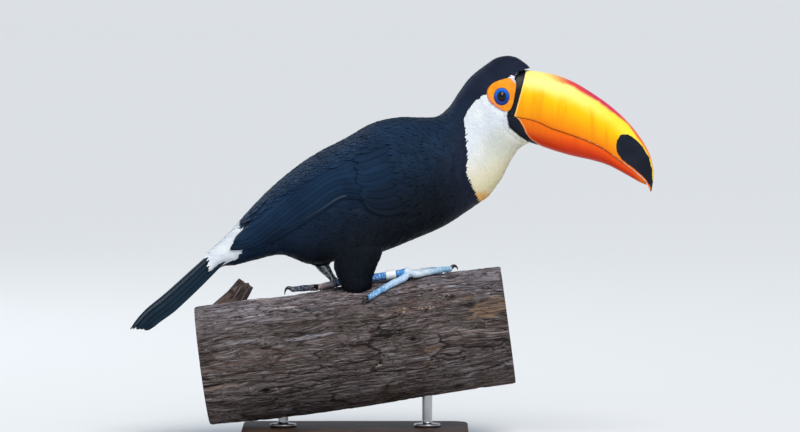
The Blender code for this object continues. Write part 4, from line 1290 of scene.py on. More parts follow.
# A point over the log: along its axis, round from its top towards the bird's right, and out from it.
def onPerch(along, around, lift):
    out = perchRadius(along, around) + lift
    flat, tall = np.cos(perch["rise"]), np.sin(perch["rise"])
    x = along * flat - tall * out * np.cos(around)
    return stacked(x, -out * np.sin(around), perch["height"] + along * tall + flat * out * np.cos(around))


# The way round the log from an angle in degrees, as a length over its bark.
def awayFrom(around, degrees):
    return (around - np.radians(degrees)) * perch["radius"]


# How deep the bark lies under the log's outline, and its marks with the place in its grain: fibres and
# cracks are uneven fields stretched along the axis over places that drift sideways. Knots push the
# grain aside, bare places have lost their bark, and tracks are fine furrows; only the log has these.
def barkDepth(along, around, girth):
    spots = perch if girth == perch["radius"] else {"knots": (), "bare": (), "tracks": ()}
    ring = stacked(along, girth * np.cos(around), girth * np.sin(around))
    across = (uneven(ring, (52, 17, 17), seed) for seed in (92, 93))
    drift = stacked(uneven(ring, (80, 30, 30), 91, 2), *across)
    grain = ring + drift * (9, 3.6, 3.6)
    knot, bare, track = 0 * along, 0 * along, np.full(along.shape, 9.0)
    for at, degrees, size in spots["knots"]:
        away = np.hypot(along - at, awayFrom(around, degrees) * 1.5)
        near = np.exp(-((away / (2.2 * size)) ** 2))
        sideways = np.sign(around - np.radians(degrees)) * near * size * 0.8
        grain[..., 1] += sideways * np.sin(around)
        grain[..., 2] -= sideways * np.cos(around)
        knot = np.maximum(knot, np.exp(-((away / size) ** 2)))
    fibre = abs(uneven(grain, (44, 3.3, 3.3), 94))
    strands = abs(uneven(grain, (26, 1.6, 1.6), 95, 2))
    plates = abs(uneven(grain, (58, 11, 11), 96, 2))
    crossing = abs(uneven(grain, (7, 13, 13), 97, 1))
    broad = uneven(ring, (90, 40, 40), 98, 2)
    crack = (1 - smoothStep(plates, 0.0, 0.13)) + 0.45 * (1 - smoothStep(crossing, 0, 0.05)) * (plates > 0.35)
    shred = 1 - smoothStep(fibre, 0.0, 0.55)
    depth = 0.35 + 0.9 * shred + 0.45 * (1 - smoothStep(strands, 0.0, 0.5)) + 1.5 * crack + 0.35 * broad
    for at, degrees, reach, spread in spots["bare"]:
        away = np.hypot((along - at) / reach, awayFrom(around, degrees) / spread)
        bare = np.maximum(bare, 1 - smoothStep(away + 0.5 * uneven(grain, (16, 5, 5), 99, 2), 0.75, 1.05))
    depth = depth * (1 - 0.65 * bare) + 0.55 * bare
    for k, (at, degrees, reach, spread, waves) in enumerate(spots["tracks"]):
        t = np.linspace(-1, 1, 160)
        pathAlong = at + reach * t + 1.2 * np.sin(waves * 2.1 * t + k)
        pathAround = spread * np.sin(waves * 3.0 * t + 2 * k) * (0.5 + 0.5 * np.cos(2.2 * t))
        beside = awayFrom(around, degrees)
        close = (abs(along - at) < reach + 4) & (abs(beside) < spread + 4)
        away = np.hypot(along[close][:, None] - pathAlong, beside[close][:, None] - pathAround)
        track[close] = np.minimum(track[close], away.min(axis=1))
    depth = depth + 0.5 * np.exp(-((track / 0.6) ** 2)) + 1.8 * knot**2
    depth = np.clip(depth, 0, 3.4)
    return depth, {"grain": grain * mm, "depth": depth, "bare": bare, "track": track, "knot": knot}


# Sawn ends from the bark's rim to the middle, with saw marks and cracks that run out from the heart.
def makeSawnEnds(grid, around, depth):
    share = np.concatenate([[1.0], np.linspace(0.995, 0.02, 46)])[:, None]
    rows, cols = len(share), len(around)
    axis = np.array([np.cos(perch["rise"]), 0, np.sin(perch["rise"])])
    points, faces, marks, split = [], [], [], []
    for row, way, twist in ((0, -1, 0.83), (-1, 1, 1)):
        middle = grid[row].mean(axis=0)
        disc = middle + (grid[row] - middle) * share[..., None]
        radius = share * (perch["radius"] - depth[row])
        flat = stacked(radius * np.cos(around), radius * np.sin(around), 0)
        check = np.zeros(radius.shape)
        for degrees, near, far, wide in perch["checks"]:
            away = around - np.radians(degrees * twist) - 0.05 * np.sin(radius / 7)
            away = ((away + np.pi) % turn - np.pi) * radius
            full = smoothStep(radius, near, near + 4) * (1 - smoothStep(radius, far - 14, far))
            check = np.maximum(check, full * np.exp(-((away / (0.4 * wide + wide * full)) ** 2)))
        saw = 0.10 * uneven(flat, (1.3, 30, 9), 101, 2) + 0.12 * uneven(flat, (9, 9, 9), 102, 2)
        saw = saw - 0.15 - 1.6 * check
        disc = disc + axis * way * (saw * smoothStep(1 - share, 0.0, 0.02))[..., None]
        start = len(split) * (rows * cols + 1)
        fan = fanFaces(cols, start + (rows - 1) * cols, start + rows * cols)
        points += [disc.reshape(-1, 3), middle[None]]
        faces += [gridFaces(rows, cols, True)[:, ::way] + start, fan[:, ::way]]
        marks += [flat.reshape(-1, 3) * mm, np.zeros((1, 3))]
        split.append(np.append(check, 0.0))
    piece = newPiece("perchEnds", np.concatenate(points), *faces, cut=np.concatenate(marks),
                     split=np.concatenate(split))
    finishPiece(piece, cutWood, "cut_wood")


def makePerch():
    half, angles = perch["half"], ringAngles(perch["columns"])
    along, around = gridOf(np.linspace(-half, half, perch["rows"]), angles)
    depth, marks = barkDepth(along, around, perch["radius"])
    grid = onPerch(along, around, -depth - 0.9 * smoothStep(abs(along), half - 2.0, half))
    piece = newPiece("perchBark", grid, gridFaces(*along.shape, True)[:, ::-1], **marks)
    finishPiece(piece, bark, "bark", "perch")
    makeSawnEnds(grid, angles, depth)


# The broken side branch: a tapering tube out of the log with bark relief and a slanted splintered end.
def makeStub():
    stub = perch["stub"]
    low, high = 4, stub["reach"][-1]
    root = onPerch(np.array(stub["along"]), np.array(stub["around"]), -stub["depth"])
    lean, flat, tall = unit(np.array([0, 0.08, 1.0])), np.cos(stub["lean"]), np.sin(stub["lean"])
    ahead = np.array([lean[0] * flat + lean[2] * tall, lean[1], lean[2] * flat - lean[0] * tall])
    up = unit(np.cross(np.cross(ahead, (1.0, 0, 0)), ahead))
    side = np.cross(ahead, up)
    angles = ringAngles(96)
    reach, angle = gridOf(np.linspace(low, high, 62), angles)
    radius = np.interp(reach, stub["reach"], stub["radius"])
    splinter = 1.1 * uneven(stacked(9 * np.cos(angle), 9 * np.sin(angle), 0), (2.2, 2.2, 2), 105, 2)
    cut = 38.5 + 1.2 * np.cos(angle - 1.2) + splinter
    reach = low + (reach - low) * (cut - low) / (high - low)
    depth, marks = barkDepth(reach, angle, 13.0)
    out = up * np.cos(angle)[..., None] + side * np.sin(angle)[..., None]
    grid = root + ahead * reach[..., None] + out * (radius - 0.55 * depth)[..., None]
    piece = newPiece("stubBark", grid, gridFaces(*reach.shape, True)[:, ::-1], **marks)
    recalculate(piece)
    finishPiece(piece, bark, "bark")
    share = np.linspace(1, 0.04, 14)[:, None]
    rows, cols = len(share), len(angles)
    middle = grid[-1].mean(axis=0)
    flat = stacked(share * 8 * np.cos(angles), share * 8 * np.sin(angles), 0)
    rough = 0.8 * uneven(flat, (1.6, 1.6, 3), 106, 2) * smoothStep(1 - share, 0, 0.1)
    disc = middle + (grid[-1] - middle) * share[..., None] + ahead * rough[..., None]
    points = np.concatenate([disc.reshape(-1, 3), middle[None]])
    marks = np.concatenate([flat.reshape(-1, 3) * mm, np.zeros((1, 3))])
    fan = fanFaces(cols, (rows - 1) * cols, rows * cols)
    piece = newPiece("stubEnd", points, gridFaces(rows, cols, True), fan, cut=marks,
                     split=np.zeros(len(points)))
    recalculate(piece)
    finishPiece(piece, cutWood, "cut_wood")


def barkFinish():
    f = Finish("bark", Specular_IOR_Level=0.14)
    grain = f.mark("grain", "Vector")
    depth, bare, track, knot = (f.mark(name) for name in ("depth", "bare", "track", "knot"))
    fibres = f.noise(520, 6.0, (0.085, 1, 1), grain, 0.3)
    threads = f.noise(2100, 3.0, (0.04, 1, 1), grain, 0.2)
    lines = f.math("ABSOLUTE", f.math("SUBTRACT", f.noise(330, 4.0, (0.055, 1, 1), grain, 0.5), 0.5))
    flakes = f.cells(170, "DISTANCE_TO_EDGE", (0.12, 1, 1), grain)
    blotches = f.noise(26, 4.0, (0.35, 1, 1), grain, 0.6)
    patches = f.noise(90, 6.0, (0.22, 1, 1), grain, 0.8)
    specks = f.noise(900, 3.0, (0.25, 1, 1), grain)
    streaks = f.noise(48, 4.0, (0.16, 1, 1), grain, 0.9)
    level = f.roughened(depth, fibres, 2.4)
    # colour by depth: the grey-mauve crests carry a painted highlight and the near-black deep cracks are
    # painted shade; the browns between are the bark's own colour
    colour = f.ramp(f.scaled(level, 0.30), (0.0, (0.215, 0.190, 0.195)), (0.14, (0.150, 0.122, 0.120)),
                    (0.34, (0.082, 0.062, 0.058)), (0.58, (0.032, 0.023, 0.021)),
                    (0.85, (0.010, 0.008, 0.008)))
    rust = f.over((0.035, 0.018, 0.014), (0.150, 0.088, 0.065), (fibres, 0.35, 0.65))
    colour = f.over(colour, rust, (blotches, 0.50, 0.66), by=0.45)
    colour = f.over(colour, (0.245, 0.235, 0.265), (patches, 0.55, 0.68), (level, 1.4, 0.3))
    colour = f.over(colour, (0.030, 0.023, 0.021), (patches, 0.42, 0.32), by=0.55)
    pale = f.over((0.270, 0.215, 0.200), (0.190, 0.130, 0.105), (blotches, 0.4, 0.6))
    colour = f.over(colour, pale, (streaks, 0.56, 0.68), (level, 1.6, 0.5))
    colour = f.over(colour, (0.040, 0.030, 0.027), (streaks, 0.42, 0.30), by=0.50)
    tan = f.over((0.085, 0.048, 0.030), (0.30, 0.195, 0.125), (fibres, 0.30, 0.66))
    colour = f.mix(f.math("MULTIPLY", bare, f.between(level, 2.2, 0.7)), colour, tan)
    colour = f.over(colour, (0.020, 0.015, 0.014), (lines, 0.020, 0.004), by=0.70)
    colour = f.over(colour, (0.30, 0.265, 0.260), (lines, 0.024, 0.040), (lines, 0.075, 0.05), by=0.45)
    colour = f.over(colour, (0.024, 0.018, 0.017), (flakes, 0.035, 0.0), by=0.55)
    colour = f.over(colour, (0.46, 0.38, 0.31), (track, 0.75, 0.40), (specks, 0.40, 0.52), by=0.70)
    colour = f.over(colour, (0.016, 0.011, 0.010), (knot, 0.35, 0.9))
    colour = f.over(colour, (0.36, 0.32, 0.31), (specks, 0.68, 0.76), by=0.4)
    # painted light: the log's upper side is made lighter and bluer, as if lit by the sky from above
    skyLitBark = f.tinted(colour, (1.75, 1.95, 2.25))
    colour = f.over(colour, skyLitBark, (f.axes(grain)[1], 0.030, 0.056), (fibres, 0.25, 0.6))
    ridges = f.math("MULTIPLY_ADD", f.between(lines, 0.0, 0.05), 0.7, fibres)
    height = f.math("ADD", f.scaled(threads, 0.45), ridges)
    height = f.math("MULTIPLY_ADD", f.between(flakes, 0.0, 0.08), 0.5, height)
    return f.done(colour, f.scaled(fibres, -0.2, 0.98), f.bump(height, 0.0016, 0.9))


def cutWoodFinish():
    f = Finish("cutWood", Specular_IOR_Level=0.2)
    cut, split = f.mark("cut", "Vector"), f.mark("split")
    wobble, pores, stains = (f.noise(*size, place=cut) for size in ((32, 3), (1500, 2), (60, 4)))
    distance = f.add("ShaderNodeVectorMath", {0: cut}, operation="LENGTH").outputs["Value"]
    radius = f.roughened(distance, wobble, 0.012)
    rings = f.math("FRACT", f.scaled(radius, 290.0))
    late = f.math("MULTIPLY", f.between(rings, 0.45, 0.92), f.between(rings, 1.0, 0.95))
    wood = f.mix(late, (0.36, 0.245, 0.150), (0.130, 0.072, 0.042))
    wood = f.over(wood, (0.20, 0.155, 0.125), (stains, 0.40, 0.68), by=0.6)
    wood = f.over(wood, (0.115, 0.060, 0.038), (radius, 0.026, 0.010), by=0.75)
    wood = f.over(wood, (0.10, 0.060, 0.040), (pores, 0.58, 0.70), by=0.6)
    # painted shade: near black down in the cracks of the sawn ends
    wood = f.over(wood, (0.018, 0.011, 0.008), (split, 0.25, 0.7))
    wood = f.over(wood, (0.060, 0.036, 0.028), (radius, 0.0535, 0.0565))
    return f.done(wood, f.scaled(pores, 0.2, 0.74), f.bump(f.math("SUBTRACT", pores, late), 0.0004, 0.5))


bark, cutWood = barkFinish(), cutWoodFinish()
makePerch()
makeStub()
print("perch made")

# Legs and feet
legs = {
    "right": {
        "heel": (-2.9, -17.0, 155.5), "joint": (60, 13, 7.2),
        "toes": (((55, 6), (46, 0), (38, -5)), ((66, 7), (76, 0), (85, -6), (91, -11)),
                 ((68, 12), (80, 9), (92, 5), (101, 1)), ((56, 18), (44, 26.5), (29, 36), (20, 42, 1))),
        "tints": {"shank": ((0.060, 0.29, 0.70), (0.070, 0.30, 0.68)), "joint": (0.80, 0.86, 0.94),
                  "toes": (((0.25, 0.45, 0.76), (0.10, 0.26, 0.50)), ((0.72, 0.80, 0.90), (0.26, 0.48, 0.68)),
                           ((0.74, 0.82, 0.90), (0.30, 0.54, 0.74)),
                           ((0.50, 0.68, 0.88), (0.13, 0.36, 0.64)))},
    },
    "left": {
        "heel": (-42.5, 19.5, 181.5), "joint": (-11, -14, 5.0),
        "toes": (((-14, -8), (-21, -3), (-28, 2)), ((-4, -8), (6, -4), (16, -1), (24, 2)),
                 ((-1, -15), (13, -17), (27, -19), (39, -22)),
                 ((-15, -14), (-28, -13), (-41, -11, 1.5), (-53, -9, 2.5))),
        "tints": {"shank": ((0.040, 0.045, 0.055), (0.050, 0.060, 0.075)), "joint": (0.48, 0.36, 0.37),
                  "toes": (((0.66, 0.56, 0.56), (0.50, 0.33, 0.31)), ((0.16, 0.26, 0.40), (0.08, 0.18, 0.34)),
                           ((0.16, 0.26, 0.40), (0.08, 0.18, 0.34)),
                           ((0.50, 0.38, 0.39), (0.085, 0.10, 0.14)))},
    },
    "shankRadius": 3.4, "heelRadius": 4.4, "jointRadius": 4.3, "lift": 0.05,
    "radii": (3.6, 3.3, 3.1, 2.7), "shortRadii": (3.2, 2.8, 2.4), "platePitch": 2.1, "shankPitch": 3.1,
    "claw": {"length": 10.5, "root": 2.3, "tip": 0.32, "hump": 2.2, "clear": 0.8},
    "band": {"share": 0.70, "height": 9.6, "radius": 4.7, "wall": 0.85},
}


def jointOf(side):
    along, around, lift = legs[side]["joint"]
    return onPerch(np.array(float(along)), np.radians(around), lift)


# Angles round a ring of points, from half a turn back to half a turn on.
def centredAngles(count):
    return (ringAngles(count) + np.pi) % turn - np.pi


# Rings round a spine, turned from its upper side: a radius at each spine point times a flattening, plus
# a relief of its own at each ring point.
def sweptRings(spine, upward, radius, angle, relief, wide=1.0):
    ahead = unit(np.gradient(spine, axis=0))
    up = unit(upward - ahead * (upward * ahead).sum(-1, keepdims=True))
    side = np.cross(ahead, up)
    out = up[:, None] * np.cos(angle)[:, None] + wide * side[:, None] * np.sin(angle)[:, None]
    return spine[:, None] + out * (radius[:, None] + relief)[..., None]


# Overlapping plates across the upper side of a toe or shank: each rises from under the last one and
# drops at its own far edge, and its edge bows back at the sides.
def plateHeight(travelled, angle, pitch, reach):
    travelled = travelled[:, None]
    place = stacked(travelled, 2 * angle, 0)
    bowed = travelled / pitch - 0.45 * (angle / reach) ** 2 + 0.22 * uneven(place, (4, 1.6, 1), 131, 2)
    part = bowed % 1
    covered = 1 - smoothStep(abs(angle), 0.8 * reach, 1.1 * reach)
    plate = smoothStep(part, 0.0, 0.25) * (1 - smoothStep(part, 0.84, 0.99))
    middle = abs((2.4 * angle / reach + 0.5 * np.floor(bowed)) % 1 - 0.5)
    split = 1 - 0.7 * (1 - smoothStep(middle, 0.0, 0.12))
    return plate * split * covered + (1 - covered) * (0.5 + 0.25 * uneven(place, (0.8, 0.7, 1), 132, 2))


def toeRadii(route):
    return legs["radii"] if len(route) == 4 else legs["shortRadii"]


# A toe's spine: from the joint through its route over the bark, with radii, even steps of length.
def toeSpine(side, route):
    points = [jointOf(side)]
    for (along, around, *raised), radius in zip(route, toeRadii(route)):
        lift = radius + legs["lift"] + sum(raised)
        points.append(onPerch(np.array(float(along)), np.radians(around), lift))
    place = np.linspace(0, len(route), 400)
    spine = rowsAt(points, place)
    width = rowsAt([(radius,) for radius in (legs["radii"][0], *toeRadii(route))], place)
    travelled = travel(spine)
    even = np.linspace(0, travelled[-1], int(travelled[-1] / 0.33))
    columns = [np.interp(even, travelled, line) for line in np.hstack([spine, width]).T]
    return stacked(*columns[:3]), columns[3], even


def outOfPerch(points):
    low = points - (0, 0, perch["height"])
    axis = np.array([np.cos(perch["rise"]), 0, np.sin(perch["rise"])])
    return unit(low - (low @ axis)[:, None] * axis)


# The colour from a first tint to a last one by a share along a leg piece, over its ring points.
def blended(tints, share, angle):
    first, last = np.array(tints)
    return first + (last - first) * share[:, None, None] + 0 * angle[:, None]


def makeFoot(side):
    leg, angle = legs[side], centredAngles(40)
    grids, tints, plates = [], [], []
    for route, toeTints in zip(leg["toes"], leg["tints"]["toes"]):
        spine, radius, travelled = toeSpine(side, route)
        ahead = unit(spine[-1] - spine[-4])
        dome = np.linspace(0, 1, 12)[1:] * np.pi / 2
        past = np.sin(dome) * radius[-1] * 0.95
        spine = np.concatenate([spine, spine[-1] + ahead * past[:, None]])
        travelled = np.concatenate([travelled, travelled[-1] + past])
        closing = np.concatenate([np.ones(len(radius)), np.maximum(np.cos(dome), 0.08)])
        radius = np.concatenate([radius, np.full(len(dome), radius[-1])]) * closing
        swell = 0.97 + 0.055 * np.cos(travelled * turn / 11.5 + 1.0)
        plate = plateHeight(travelled, angle, legs["platePitch"], 1.75)
        pads = 0.16 * np.cos(travelled * turn / 3.2)[:, None] * smoothStep(abs(angle), 2.1, 2.7)
        relief = (0.22 * (plate - 0.6) + pads) * smoothStep(closing * swell, 0.4, 0.9)[:, None]
        grids.append(sweptRings(spine, outOfPerch(spine), radius * swell, angle, relief))
        tints.append(blended(toeTints, smoothStep(travelled / travelled[-1], 0.3, 0.75), angle))
        plates.append(plate)
    theta, phi = gridOf(np.linspace(0, np.pi, 32)[1:-1], ringAngles(48))
    ball = stacked(np.sin(theta) * np.cos(phi), np.sin(theta) * np.sin(phi), np.cos(theta))
    lumps = 1 + 0.035 * uneven(ball * 4, (1.5, 1.5, 1.5), 121, 2)
    grids.append(jointOf(side) + ball * (legs["jointRadius"] + 0.15) * lumps[..., None])
    tints.append(np.array(leg["tints"]["joint"]) + 0 * ball)
    plates.append(0.6 + 0 * theta)
    piece = tubePiece(f"footSkin_{side}", grids, tint=tints, plate=plates)
    finishPiece(piece, legSkin, "leg_skin", f"foot_{side}")


def makeShank(side):
    leg, angle, rows = legs[side], centredAngles(44), 190
    heel, joint = np.array(leg["heel"]), jointOf(side)
    share = np.linspace(0, 1, rows)
    spine = heel + (joint - heel) * share[:, None]
    travelled = travel(spine)
    thin, heelFade = legs["shankRadius"], 1 - smoothStep(travelled, 0, 9)
    radius = thin + (legs["heelRadius"] - thin) * heelFade
    radius = radius + 0.7 * smoothStep(travelled, travelled[-1] - 7, travelled[-1] - 1)
    if side == "left":
        radius = radius + 2.8 * (1 - smoothStep(travelled, 16, 34))
    plate = plateHeight(travelled, angle, legs["shankPitch"], 2.3)
    upward = np.tile((1.0, 0, 0.4), (rows, 1))
    grid = sweptRings(spine, upward, radius - 0.1, angle, 0.22 * (plate - 0.6), 0.94)
    tint = blended(leg["tints"]["shank"], share, angle)
    if side == "left":  # pale lengthwise streaks
        travelled = travelled[:, None]
        wander = 0.5 * np.sin(travelled * 0.31) + 0.3 * np.sin(travelled * 0.83 + 2 * angle)
        stripe = smoothStep(np.sin(5 * angle + wander + 0.4), 0.25, 0.8)
        stripe = stripe * smoothStep(travelled, 6, 12) * (1 - 0.7 * smoothStep(travelled, 30, 38))
        tint = tint + (np.array((0.70, 0.76, 0.72)) - tint) * stripe[..., None]
    piece = tubePiece(f"shankSkin_{side}", [grid], tint=[tint], plate=[plate])
    finishPiece(piece, legSkin, "leg_skin", f"shank_{side}")


# The claws, as hooks that hump up from each toe's end and come down to the bark.
def makeClaws(side):
    claw, angle = legs["claw"], centredAngles(24)
    for number, route in enumerate(legs[side]["toes"], 1):
        toeRadius = toeRadii(route)[-1]
        before, tip = np.array(route[-2][:2], float), np.array(route[-1][:2], float)
        heading = np.array([tip[0] - before[0], np.radians(tip[1] - before[1]) * perch["radius"]])
        heading /= np.linalg.norm(heading)
        share = np.linspace(-0.14, 1, 60)
        reach = toeRadius * 0.25 + gap + claw["length"] * np.sin(share * 1.35) / np.sin(1.35) * 0.72
        start = toeRadius + gap + sum(route[-1][2:])
        hump = claw["hump"] * np.sin(np.pi * np.maximum(share, 0))
        lift = start * (1 - share**2) + hump + claw["clear"] * share
        aside = np.radians(tip[1]) + heading[1] * reach / perch["radius"]
        spine = onPerch(tip[0] + heading[0] * reach, aside, lift)
        radius = claw["root"] + (claw["tip"] - claw["root"]) * np.clip(share, 0, 1) ** 1.3
        under = -0.22 * radius[:, None] * np.exp(-((abs(angle) - np.pi) / 0.5) ** 2)
        grid = sweptRings(spine, outOfPerch(spine), radius, angle, under, 0.82)
        marks = np.repeat(share[:, None], len(angle), 1)
        piece = tubePiece(f"clawHorn_{side}_{number}", [grid], share=[marks])
        finishPiece(piece, horn, "claw", f"claw_{side}_{number}")


# Points of a profile, as radius and height, turned round an axis from a foot point.
def turned(profile, foot, axis, columns):
    axis = unit(np.asarray(axis, float))
    across = unit(np.cross(axis, (0.3, 1.0, 0.1)))
    beside = np.cross(axis, across)
    angle = ringAngles(columns)[:, None]
    out = across * np.cos(angle) + beside * np.sin(angle)
    profile = np.asarray(profile, float)
    return np.asarray(foot) + out[None] * profile[:, None, :1] + axis * profile[:, None, 1:]


# The plain ring on the right leg: a rounded strip turned round the shank, with a fine closing line.
def makeBand():
    band, columns = legs["band"], 120
    heel, joint = np.array(legs["right"]["heel"]), jointOf("right")
    middle = heel + (joint - heel) * band["share"]
    half, outer, inner, bevel = band["height"] / 2, band["radius"], band["radius"] - band["wall"], 0.28
    profile = []
    for radius, height, quarter in ((inner, half, 1), (outer, half, 0), (outer, -half, 3), (inner, -half, 2)):
        at = radius + (bevel if radius == inner else -bevel), height - np.sign(height) * bevel
        for angle in np.pi / 2 * (quarter + 1 - np.arange(5) / 4):
            profile.append((at[0] + bevel * np.cos(angle), at[1] + bevel * np.sin(angle)))
    dense = []
    for a, b in zip(profile, profile[1:] + profile[:1]):
        count = 14 if np.hypot(a[0] - b[0], a[1] - b[1]) > 2 else 1
        dense += [tuple(np.array(a) + (np.array(b) - a) * k / count) for k in range(count)]
    grid = turned(dense, middle, joint - heel, columns)
    seam = np.exp(-(((ringAngles(columns) - 2.0) * band["radius"] / 0.16) ** 2))[None, :, None]
    outside = np.array([radius > inner + 0.5 for radius, _ in dense])[:, None, None]
    grid = grid - unit(grid - middle) * 0.16 * seam * outside
    faces = gridFaces(len(dense) + 1, columns, True) % (len(dense) * columns)
    piece = newPiece("legBand", grid, faces)
    recalculate(piece)
    finishPiece(piece, bandPlastic, "leg_band", "leg_band")


def legFinish():
    f = Finish("legSkin", Specular_IOR_Level=0.25)
    tint, plate = f.mark("tint", "Color"), f.mark("plate")
    cloud, flecks = f.noise(260), f.noise(520)
    colour = f.over(f.tinted(tint, (0.70, 0.78, 0.86)), tint, (cloud, 0.30, 0.70))
    # painted shade: darker in the creases where each plate tucks under the one before
    colour = f.over(colour, f.tinted(tint, (0.28, 0.34, 0.45)), (plate, 0.45, 0.10), by=0.75)
    colour = f.over(colour, (0.78, 0.84, 0.90), (flecks, 0.52, 0.62), (plate, 0.25, 0.8), by=0.70)
    height = f.math("ADD", f.scaled(f.cells(900), -0.8), flecks)
    return f.done(colour, f.scaled(cloud, 0.3, 0.36), f.bump(height, 0.00035, 0.6))


def hornFinish():
    f = Finish("clawHorn", Coat_Weight=0.4, Coat_Roughness=0.15, Specular_IOR_Level=0.5)
    lines = f.noise(1400, 2.0, (1, 1, 0.3))
    colour = f.over((0.006, 0.006, 0.007), (0.020, 0.015, 0.012), (f.mark("share"), 0.5, 1.0))
    return f.done(colour, f.scaled(lines, 0.25, 0.16), f.bump(lines, 0.0001, 0.5))


def bandFinish():
    f = Finish("legBand", Specular_IOR_Level=0.35)
    scuffs = f.noise(900, 4.0, (1, 1, 0.35))
    colour = f.over((0.84, 0.86, 0.87), (0.68, 0.71, 0.74), (scuffs, 0.50, 0.75))
    colour = f.over(colour, (0.46, 0.48, 0.50), (f.noise(140, 4.0), 0.55, 0.75), by=0.35)
    return f.done(colour, f.scaled(scuffs, 0.3, 0.28), f.bump(scuffs, 0.00008, 0.5))


legSkin, horn, bandPlastic = legFinish(), hornFinish(), bandFinish()
for side in sides:
    makeShank(side)
    makeFoot(side)
    makeClaws(side)
makeBand()
print("legs made")

# Stand
stand = {"length": 220.0, "width": 140.0, "height": 12.0, "corner": 18.0, "edge": 2.0, "rodAt": 70.0,
         "rodShort": 45.0}  # how far the rods end under the log's axis


def roundedOutline(inset):
    corner, angle = stand["corner"] - inset, np.linspace(0, np.pi / 2, 13)
    points = []
    for sx, sy, quarter in ((1, 1, 0), (-1, 1, 1), (-1, -1, 2), (1, -1, 3)):
        x, y = sx * (stand["length"] / 2 - stand["corner"]), sy * (stand["width"] / 2 - stand["corner"])
        way = angle + np.pi / 2 * quarter
        points.append(stacked(x + corner * np.cos(way), y + corner * np.sin(way)))
    return np.concatenate(points)


def makeStand():
    edge, height = stand["edge"], stand["height"]
    rows = [(6.0, 0.0), (0.6, 0.0), (0.18, 0.18), (0.0, 0.6), (0.0, 3.5), (0.0, 7.0)]
    for angle in np.linspace(0, np.pi / 2, 9):
        rows.append((edge - edge * np.cos(angle), height - edge + edge * np.sin(angle)))
    rows += [(edge + 0.4, height), (edge + 3.0, height), (edge + 12.0, height)]
    grid = np.stack([stacked(*roundedOutline(inset).T, z) for inset, z in rows])
    finishPiece(tubePiece("standBase", [grid]), baseWood, "base_wood", "stand_base")
    foot = height + gap
    flange = np.array(((12.4, 0.0), (13.0, 0.5), (13.0, 2.0), (12.8, 2.5), (12.3, 2.85), (11.6, 3.0),
                       (7.2, 3.0), (6.2, 3.1), (5.5, 3.5), (5.15, 4.1), (5.0, 5.0))) + (0, foot)
    for place, sign in (("rear", -1), ("front", 1)):
        top = perch["height"] - stand["rodShort"] + sign * stand["rodAt"] * np.tan(perch["rise"])
        rod = stacked(5.0, foot + 5 + (top - foot - 5) * np.arange(1, 13) / 12)
        grid = turned(np.concatenate([flange, rod]), (sign * stand["rodAt"], 0, 0), (0, 0, 1), 72)
        finishPiece(tubePiece(f"standRod_{place}", [grid]), rodSteel, "rod_steel", f"stand_rod_{place}")


def baseFinish():
    f = Finish("baseWood", Specular_IOR_Level=0.12)
    rings = f.math("SINE", f.scaled(f.noise(11, 3.0, (0.3, 1, 1), None, 0.6), 90.0))
    pores = f.noise(900, 3.0, (0.05, 1, 1))
    colour = f.over((0.030, 0.015, 0.008), (0.075, 0.038, 0.020), (rings, -0.8, 1.0))
    colour = f.over(colour, (0.008, 0.005, 0.004), (pores, 0.56, 0.68), by=0.6)
    return f.done(colour, f.scaled(pores, 0.2, 0.42), f.bump(pores, 0.00012, 0.5))


def steelFinish():
    f = Finish("rodSteel", Metallic=1.0)
    brushed = f.noise(500, 3.0, (1, 1, 14))
    colour = f.over((0.42, 0.42, 0.43), (0.62, 0.62, 0.63), (brushed, 0.3, 0.7))
    return f.done(colour, f.scaled(brushed, 0.22, 0.20), f.bump(brushed, 0.00004, 0.4))


baseWood, rodSteel = baseFinish(), steelFinish()
makeStand()
print("stand made")

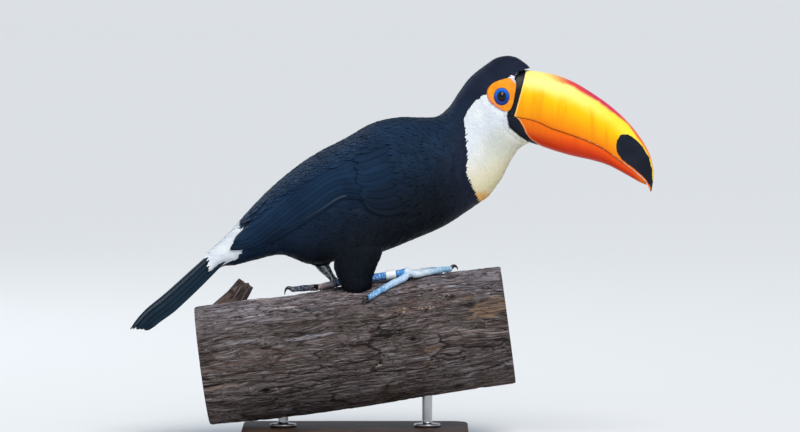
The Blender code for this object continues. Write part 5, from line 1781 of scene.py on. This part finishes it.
# Floor, light and camera
studio = {
    "floor": 40.0, "target": (0.0436, 0.0, 0.2173), "distance": 6.475, "rise": 3.0, "lens": 300.0,
    "world": (0.80, 0.88, 1.0), "worldStrength": 0.62,
    "sun": {"from": (0.25, -0.85, 1.25), "strength": 1.9, "angle": 32.0, "colour": (1.0, 0.965, 0.91)},
    "panels": (  # place, size, power, colour
        ((0.5, -2.0, 1.6), 0.9, 10, (1.0, 0.98, 0.95)),
        ((-1.6, 1.6, 1.5), 1.0, 14, (0.85, 0.92, 1.0)),
    ),
}


def aimed(thing, place):
    thing.location = place
    thing.rotation_euler = (Vector(studio["target"]) - Vector(place)).to_track_quat("-Z", "Y").to_euler()
    bpy.context.scene.collection.objects.link(thing)
    return thing


def makeFloor():
    rows, cols, level = 39, 96, -0.2
    radius, angle = gridOf(np.linspace(0, 1, rows + 1)[1:] ** 2 * studio["floor"] / mm, ringAngles(cols))
    ring = stacked(radius * np.cos(angle), radius * np.sin(angle), level).reshape(-1, 3)
    points = np.concatenate([ring, [[0, 0, level]]])
    floor = newPiece("studioFloor", points, gridFaces(rows, cols, True), fanFaces(cols, 0, len(ring)))
    f = Finish("paleFloor", Roughness=0.85, Specular_IOR_Level=0.15)
    floor.data.materials.append(f.done(f.mix(f.noise(0.35, 2.0), (0.72, 0.73, 0.73), (0.74, 0.745, 0.74))))


def makeStudio():
    world = bpy.data.worlds.new("softRoom")
    world.use_nodes = True
    background = world.node_tree.nodes["Background"]
    background.inputs[0].default_value = (*studio["world"], 1)
    background.inputs[1].default_value = studio["worldStrength"]
    bpy.context.scene.world = world
    key = bpy.data.lights.new("key", "SUN")
    key.energy, key.color = studio["sun"]["strength"], studio["sun"]["colour"]
    key.angle = np.radians(studio["sun"]["angle"])
    aimed(bpy.data.objects.new("key", key), Vector(studio["sun"]["from"]) + Vector(studio["target"]))
    for k, (place, size, power, colour) in enumerate(studio["panels"]):
        light = bpy.data.lights.new(f"panel{k}", "AREA")
        light.shape, light.size, light.energy, light.color = "DISK", size, power, colour
        aimed(bpy.data.objects.new(f"panel{k}", light), place)
    rise = np.radians(studio["rise"])
    place = Vector(studio["target"]) + Vector((0, -np.cos(rise), np.sin(rise))) * studio["distance"]
    camera = aimed(bpy.data.objects.new("camera", bpy.data.cameras.new("camera")), place)
    camera.data.lens, camera.data.sensor_width = studio["lens"], 36.0
    camera.data.clip_end = 200
    bpy.context.scene.camera = camera
    bpy.context.scene.view_settings.view_transform = "Standard"


makeFloor()
makeStudio()
print("studio ready")
